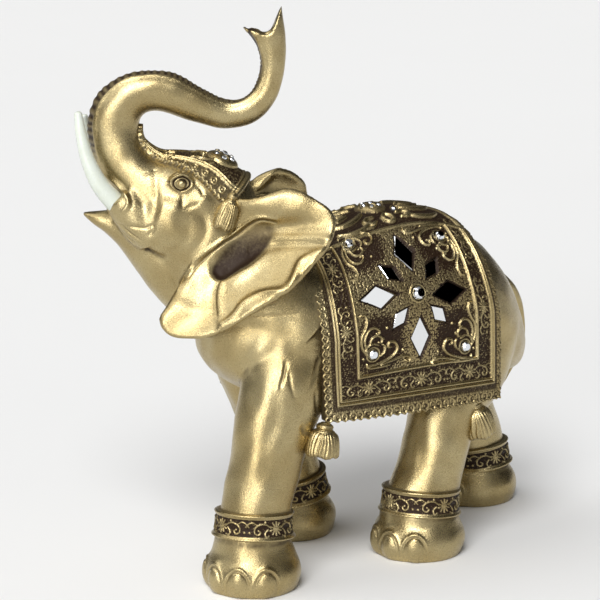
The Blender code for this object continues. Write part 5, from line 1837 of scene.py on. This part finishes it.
@dataclass
class Tassels:
    """Bound tassels: four under the cloth's corners and one on each side of the cap."""

    strands: int = 26
    columns: int = 156
    rows: int = 64

    CLOTH = (
        ("tassel_front_left", (-2.6, -33.6, 61.0), (-4.6, -34.0, 49.6)),
        ("tassel_rear_left", (69.8, -33.0, 57.5), (73.2, -33.5, 45.0)),
        ("tassel_front_right", (20.0, 33.0, 61.5), (22.0, 34.5, 50.0)),
        ("tassel_rear_right", (88.0, 33.0, 61.5), (90.0, 33.5, 50.0)),
    )
    CAP = ((10.6, 17.6, 146.5), (14.6, 19.5, 134.8))
    PROFILE = (
        (-0.12, 1.2), (-0.03, 3.0), (0.05, 3.2), (0.10, 3.0), (0.16, 4.0),
        (0.32, 5.3), (0.6, 6.0), (0.9, 6.2), (1.0, 5.2),
    )

    def tassel(self, name: str, knot: Array, end: Array, fullness: float) -> Piece:
        """One tassel from its knot to the ends of its strands.

        Args:
            name: the piece's name.
            knot: its top.
            end: its bottom.
            fullness: how wide it is beside the profile.

        Returns:
            The mesh object.
        """
        run = np.asarray(end, float) - knot
        across = np.cross(run, (0.3, 1.0, 0.1))
        across /= np.linalg.norm(across)
        along = np.cross(run / np.linalg.norm(run), across)
        share, radius = rows_at(self.PROFILE, np.linspace(0, len(self.PROFILE) - 1, self.rows)).T
        angle = np.linspace(0, math.tau, self.columns, endpoint=False)
        share, angle = np.meshgrid(share, angle, indexing="ij")
        skirt = smooth((share - 0.17) / 0.1)
        phase = self.strands / 2 * angle + 0.8 * np.sin(share * 5 + 3 * angle) + 0.5 * np.sin(7 * angle)
        ridge = np.abs(np.sin(phase)) ** 0.7
        fine = np.abs(np.sin(2.0 * phase + 1.1))
        bound = np.abs(np.sin(math.tau * share / 0.09))
        swell = skirt * (0.5 * (ridge - 0.6) + 0.16 * fine) + (1 - skirt) * 0.3 * (bound - 0.5)
        reach = (np.repeat(radius[:, None], self.columns, 1) + swell) * fullness
        ends = share + 0.03 * skirt * np.sin(5 * angle) * smooth((share - 0.7) / 0.3)
        points = np.asarray(knot) + run * ends[..., None]
        turn = across * np.cos(angle)[..., None] + along * np.sin(angle)[..., None]
        points = points + turn * reach[..., None]
        wash_and_shade = skirt * 0.75 * smooth((0.45 - ridge) / 0.4) + (1 - skirt) * 0.6 * smooth((0.4 - bound) / 0.4)
        return sheet(name, points, wash_and_shade, ring=True)

    def build(self, material: Finish) -> None:
        """Builds and dresses the tassels."""
        places = [(*place, 1.0) for place in self.CLOTH]
        for side, hand in ((1, "left"), (-1, "right")):
            ends = [head_point(forward, out * side, up) for forward, out, up in self.CAP]
            places.append((f"tassel_cap_{hand}", *ends, 0.64))
        for place in places:
            finish_piece(self.tassel(*place), material, ["elephant_casting"])


@dataclass
class Tusks:
    """The two ivory tusks, round and blunt at the tip."""

    sides: int = 40
    rings: int = 60

    def build(self, material: Finish) -> None:
        """Builds and dresses the tusks."""
        angle = np.linspace(0, math.tau, self.sides, endpoint=False)[None, :]
        places = np.linspace(0, len(TUSK) - 1, self.rings)
        forward, up, share, out = rows_at(TUSK, places).T[..., None]
        run = rows_at(TUSK, places + 0.3) - rows_at(TUSK, places - 0.3)
        run = run[:, :2] / np.linalg.norm(run[:, :2], axis=1, keepdims=True)
        tip = np.radians(np.array([20, 40, 58, 72, 84, 89.0]))[:, None]
        radius = TUSK_RADIUS * share
        for side, hand in ((1, "left"), (-1, "right")):
            lift = radius * np.sin(angle)
            sag = (places[:, None] / (len(TUSK) - 1)) ** 2 * (side < 0)
            fore, high = forward - FAR_TUSK_SAG[0] * sag, up - FAR_TUSK_SAG[1] * sag
            wide = out * side + radius * np.cos(angle)
            rings = head_point(fore - run[:, 1:] * lift, wide, high + run[:, :1] * lift)
            last, before = rings[-1].mean(0), rings[-3].mean(0)
            ahead = (last - before) / np.linalg.norm(last - before)
            blunt = last + (rings[-1] - last) * np.cos(tip)[..., None]
            blunt = blunt + ahead * radius[-1] * 0.88 * np.sin(tip)[..., None]
            points = np.concatenate((rings, blunt))
            wash_and_shade = np.repeat(0.8 * smooth(1 - np.arange(len(points)) / 22.0)[:, None], self.sides, 1)
            obj = sheet(f"ivory_tusk_{hand}", points, wash_and_shade, ring=True)
            finish_piece(obj, material, [f"tusk_{hand}"])


@dataclass
class Jewels:
    """The mirror chips, which stay as packed, and the cut stones, which replace the plain ones."""

    sides: int = 8

    def cut_stone(self) -> Piece:
        """Models one stone a unit wide on each side of its middle, with a table and two rows of facets."""
        deselect()
        bpy.ops.mesh.primitive_cylinder_add(
            vertices=self.sides * 2, radius=1.0, depth=0.4, location=(0, 0, 0.2)
        )
        bpy.ops.object.transform_apply(location=True, rotation=False, scale=False)
        stone = bpy.context.object
        with editing(stone):
            for thickness, rise, turn in ((0.16, 0.34, 11.25), (0.24, 0.26, 11.25)):
                bpy.ops.mesh.select_all(action="DESELECT")
                bpy.ops.object.mode_set(mode="OBJECT")
                top = max(stone.data.polygons, key=lambda face: face.center.z * 10 + face.area)
                top.select = True
                bpy.ops.object.mode_set(mode="EDIT")
                bpy.ops.mesh.inset(thickness=thickness)
                bpy.ops.transform.translate(value=(0, 0, rise))
                bpy.ops.transform.rotate(value=math.radians(turn), orient_axis="Z", center_override=(0, 0, 0))
            bpy.ops.mesh.select_all(action="SELECT")
            bpy.ops.mesh.quads_convert_to_tris(quad_method="SHORTEST_DIAGONAL")
            bpy.ops.mesh.normals_make_consistent(inside=False)
        while stone.data.uv_layers:
            stone.data.uv_layers.remove(stone.data.uv_layers[0])
        return stone

    def build(self, mirror: Finish, crystal: Finish) -> None:
        """Dresses the mirrors and sets a cut stone in every seat."""
        for node in MIRROR_NODES:
            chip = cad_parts[node]
            chip.data.materials.clear()
            chip.data.materials.append(mirror)
        pattern = self.cut_stone()
        tall = max(vertex.co.z for vertex in pattern.data.vertices)
        for node in STONE_NODES:
            seat = Seat.of(node)
            stone = pattern.copy()
            stone.data = pattern.data.copy()
            stone.name = stone.data.name = f"cut_{node}"
            bpy.context.scene.collection.objects.link(stone)
            scale = (seat.reach[0], seat.reach[0], 2 * seat.reach[2] / tall)
            turn = Matrix((seat.axes * np.array(scale)[:, None]).T.tolist()).to_4x4()
            base = to_metres(seat.middle - seat.axes[2] * seat.reach[2])
            stone.data.transform(Matrix.Translation(base) @ Matrix.Scale(MM, 4) @ turn)
            stone.data.materials.append(crystal)
            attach(stone, "root")
            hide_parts(node)
        bpy.data.objects.remove(pattern)
        LOG.info("jewels: %d mirrors and %d stones", len(MIRROR_NODES), len(STONE_NODES))


SkyPatch = tuple[tuple[float, float, float], tuple[float, float], tuple[float, float]]


@dataclass
class Studio:
    """The floor, the lights and the camera."""

    floor_radius: float = 7.0
    bright_side: SkyPatch = ((-0.50, -0.55, 0.67), (-0.5, 0.95), (0.06, 0.62))
    dark_side: SkyPatch = ((0.60, -0.50, 0.60), (0.78, 0.86), (1.0, 0.0))
    card: SkyPatch = ((0.59, -0.70, 0.41), (0.990, 0.9945), (0.0, 1.2))

    def floor(self, material: Finish) -> None:
        """Lays a wide pale floor."""
        deselect()
        bpy.ops.mesh.primitive_circle_add(
            vertices=96, radius=self.floor_radius, fill_type="NGON", location=(0, 0, -0.0002)
        )
        floor = bpy.context.object
        floor.name = floor.data.name = "studio_floor"
        with editing(floor):
            bpy.ops.mesh.inset(thickness=self.floor_radius / 2)
        floor.data.materials.append(material)

    def sun(self, name: str, direction: Sequence[float], strength: float, spread: float) -> None:
        """A broad distant light that shines from a direction."""
        light = bpy.data.lights.new(name, "SUN")
        light.energy = strength
        light.angle = math.radians(spread)
        lamp = bpy.data.objects.new(name, light)
        lamp.rotation_euler = Vector(direction).to_track_quat("Z", "Y").to_euler()
        bpy.context.scene.collection.objects.link(lamp)

    def patch(
        self,
        tree: bpy.types.NodeTree,
        rays: Socket,
        middle: Sequence[float],
        edge: tuple[float, float],
        levels: tuple[float, float],
    ) -> Socket:
        """A round patch of sky that is brighter or darker than the rest.

        Args:
            tree: the sky's nodes.
            rays: the direction looked in.
            middle: the direction of the patch.
            edge: the cosines at which it begins and is complete.
            levels: the level outside and inside.

        Returns:
            The level in each direction.
        """
        way = tree.nodes.new("ShaderNodeVectorMath")
        way.operation = "DOT_PRODUCT"
        way.inputs[1].default_value = Vector(middle).normalized()
        tree.links.new(rays, way.inputs[0])
        fall = tree.nodes.new("ShaderNodeMapRange")
        fall.interpolation_type = "SMOOTHSTEP"
        for key, value in zip(("From Min", "From Max", "To Min", "To Max"), (*edge, *levels)):
            fall.inputs[key].default_value = value
        tree.links.new(way.outputs["Value"], fall.inputs["Value"])
        return fall.outputs["Result"]

    def combine(self, tree: bpy.types.NodeTree, way: str, one: Socket, two: Socket) -> Socket:
        """Joins two levels."""
        joint = tree.nodes.new("ShaderNodeMath")
        joint.operation = way
        tree.links.new(one, joint.inputs[0])
        tree.links.new(two, joint.inputs[1])
        return joint.outputs["Value"]

    def light_up(self) -> None:
        """Sets the sky and the lights."""
        world = bpy.data.worlds.new("studio_sky")
        world.use_nodes = True
        tree = world.node_tree
        sky = tree.nodes["Background"]
        sky.inputs["Color"].default_value = (0.80, 0.80, 0.80, 1.0)
        rays = tree.nodes.new("ShaderNodeTexCoord").outputs["Generated"]
        level = self.patch(tree, rays, *self.bright_side)
        level = self.combine(tree, "MULTIPLY", level, self.patch(tree, rays, *self.dark_side))
        level = self.combine(tree, "ADD", level, self.patch(tree, rays, *self.card))
        tree.links.new(level, sky.inputs["Strength"])
        bpy.context.scene.world = world
        self.sun("key", (-0.62, -0.55, 0.85), 2.4, 30.0)
        self.sun("low", (-0.86, -0.50, 0.16), 1.15, 26.0)
        self.sun("top", (-0.55, 0.45, 1.0), 0.9, 50.0)
        bpy.context.scene.view_settings.view_transform = "Standard"

    def camera(self) -> None:
        """Sets the camera at the picture's angle."""
        right, up, back = camera_axes()
        lens = bpy.data.cameras.new("camera")
        lens.sensor_width = SENSOR_MM
        lens.lens = FOCAL_PIXELS / PICTURE_PIXELS * SENSOR_MM
        lens.clip_start, lens.clip_end = 0.05, 60.0
        camera = bpy.data.objects.new("camera", lens)
        turn = Matrix(np.array([right, up, back]).T.tolist()).to_4x4()
        camera.matrix_world = Matrix.Translation(to_metres(TARGET + back * DISTANCE)) @ turn
        bpy.context.scene.collection.objects.link(camera)
        bpy.context.scene.camera = camera

    def build(self, material: Finish) -> None:
        """Sets up the studio."""
        self.floor(material)
        self.light_up()
        self.camera()


def main() -> None:
    """Builds every piece in order."""
    logging.basicConfig(level=logging.INFO, format="%(message)s")
    gold = GoldPaint().material()
    Hide().build(gold)
    SaddleCloth().build(gold)
    Cap().build(gold)
    Anklets().build(gold)
    Tassels().build(gold)
    Tusks().build(IvoryResin().material())
    mirror = BrightChip("mirror_glass", Shade.SILVER, 0.015).material()
    crystal = BrightChip("rhinestone", Shade.CRYSTAL, 0.04).material()
    Jewels().build(mirror, crystal)
    Studio().build(PaleFloor().material())


if __name__ == "__main__":
    main()
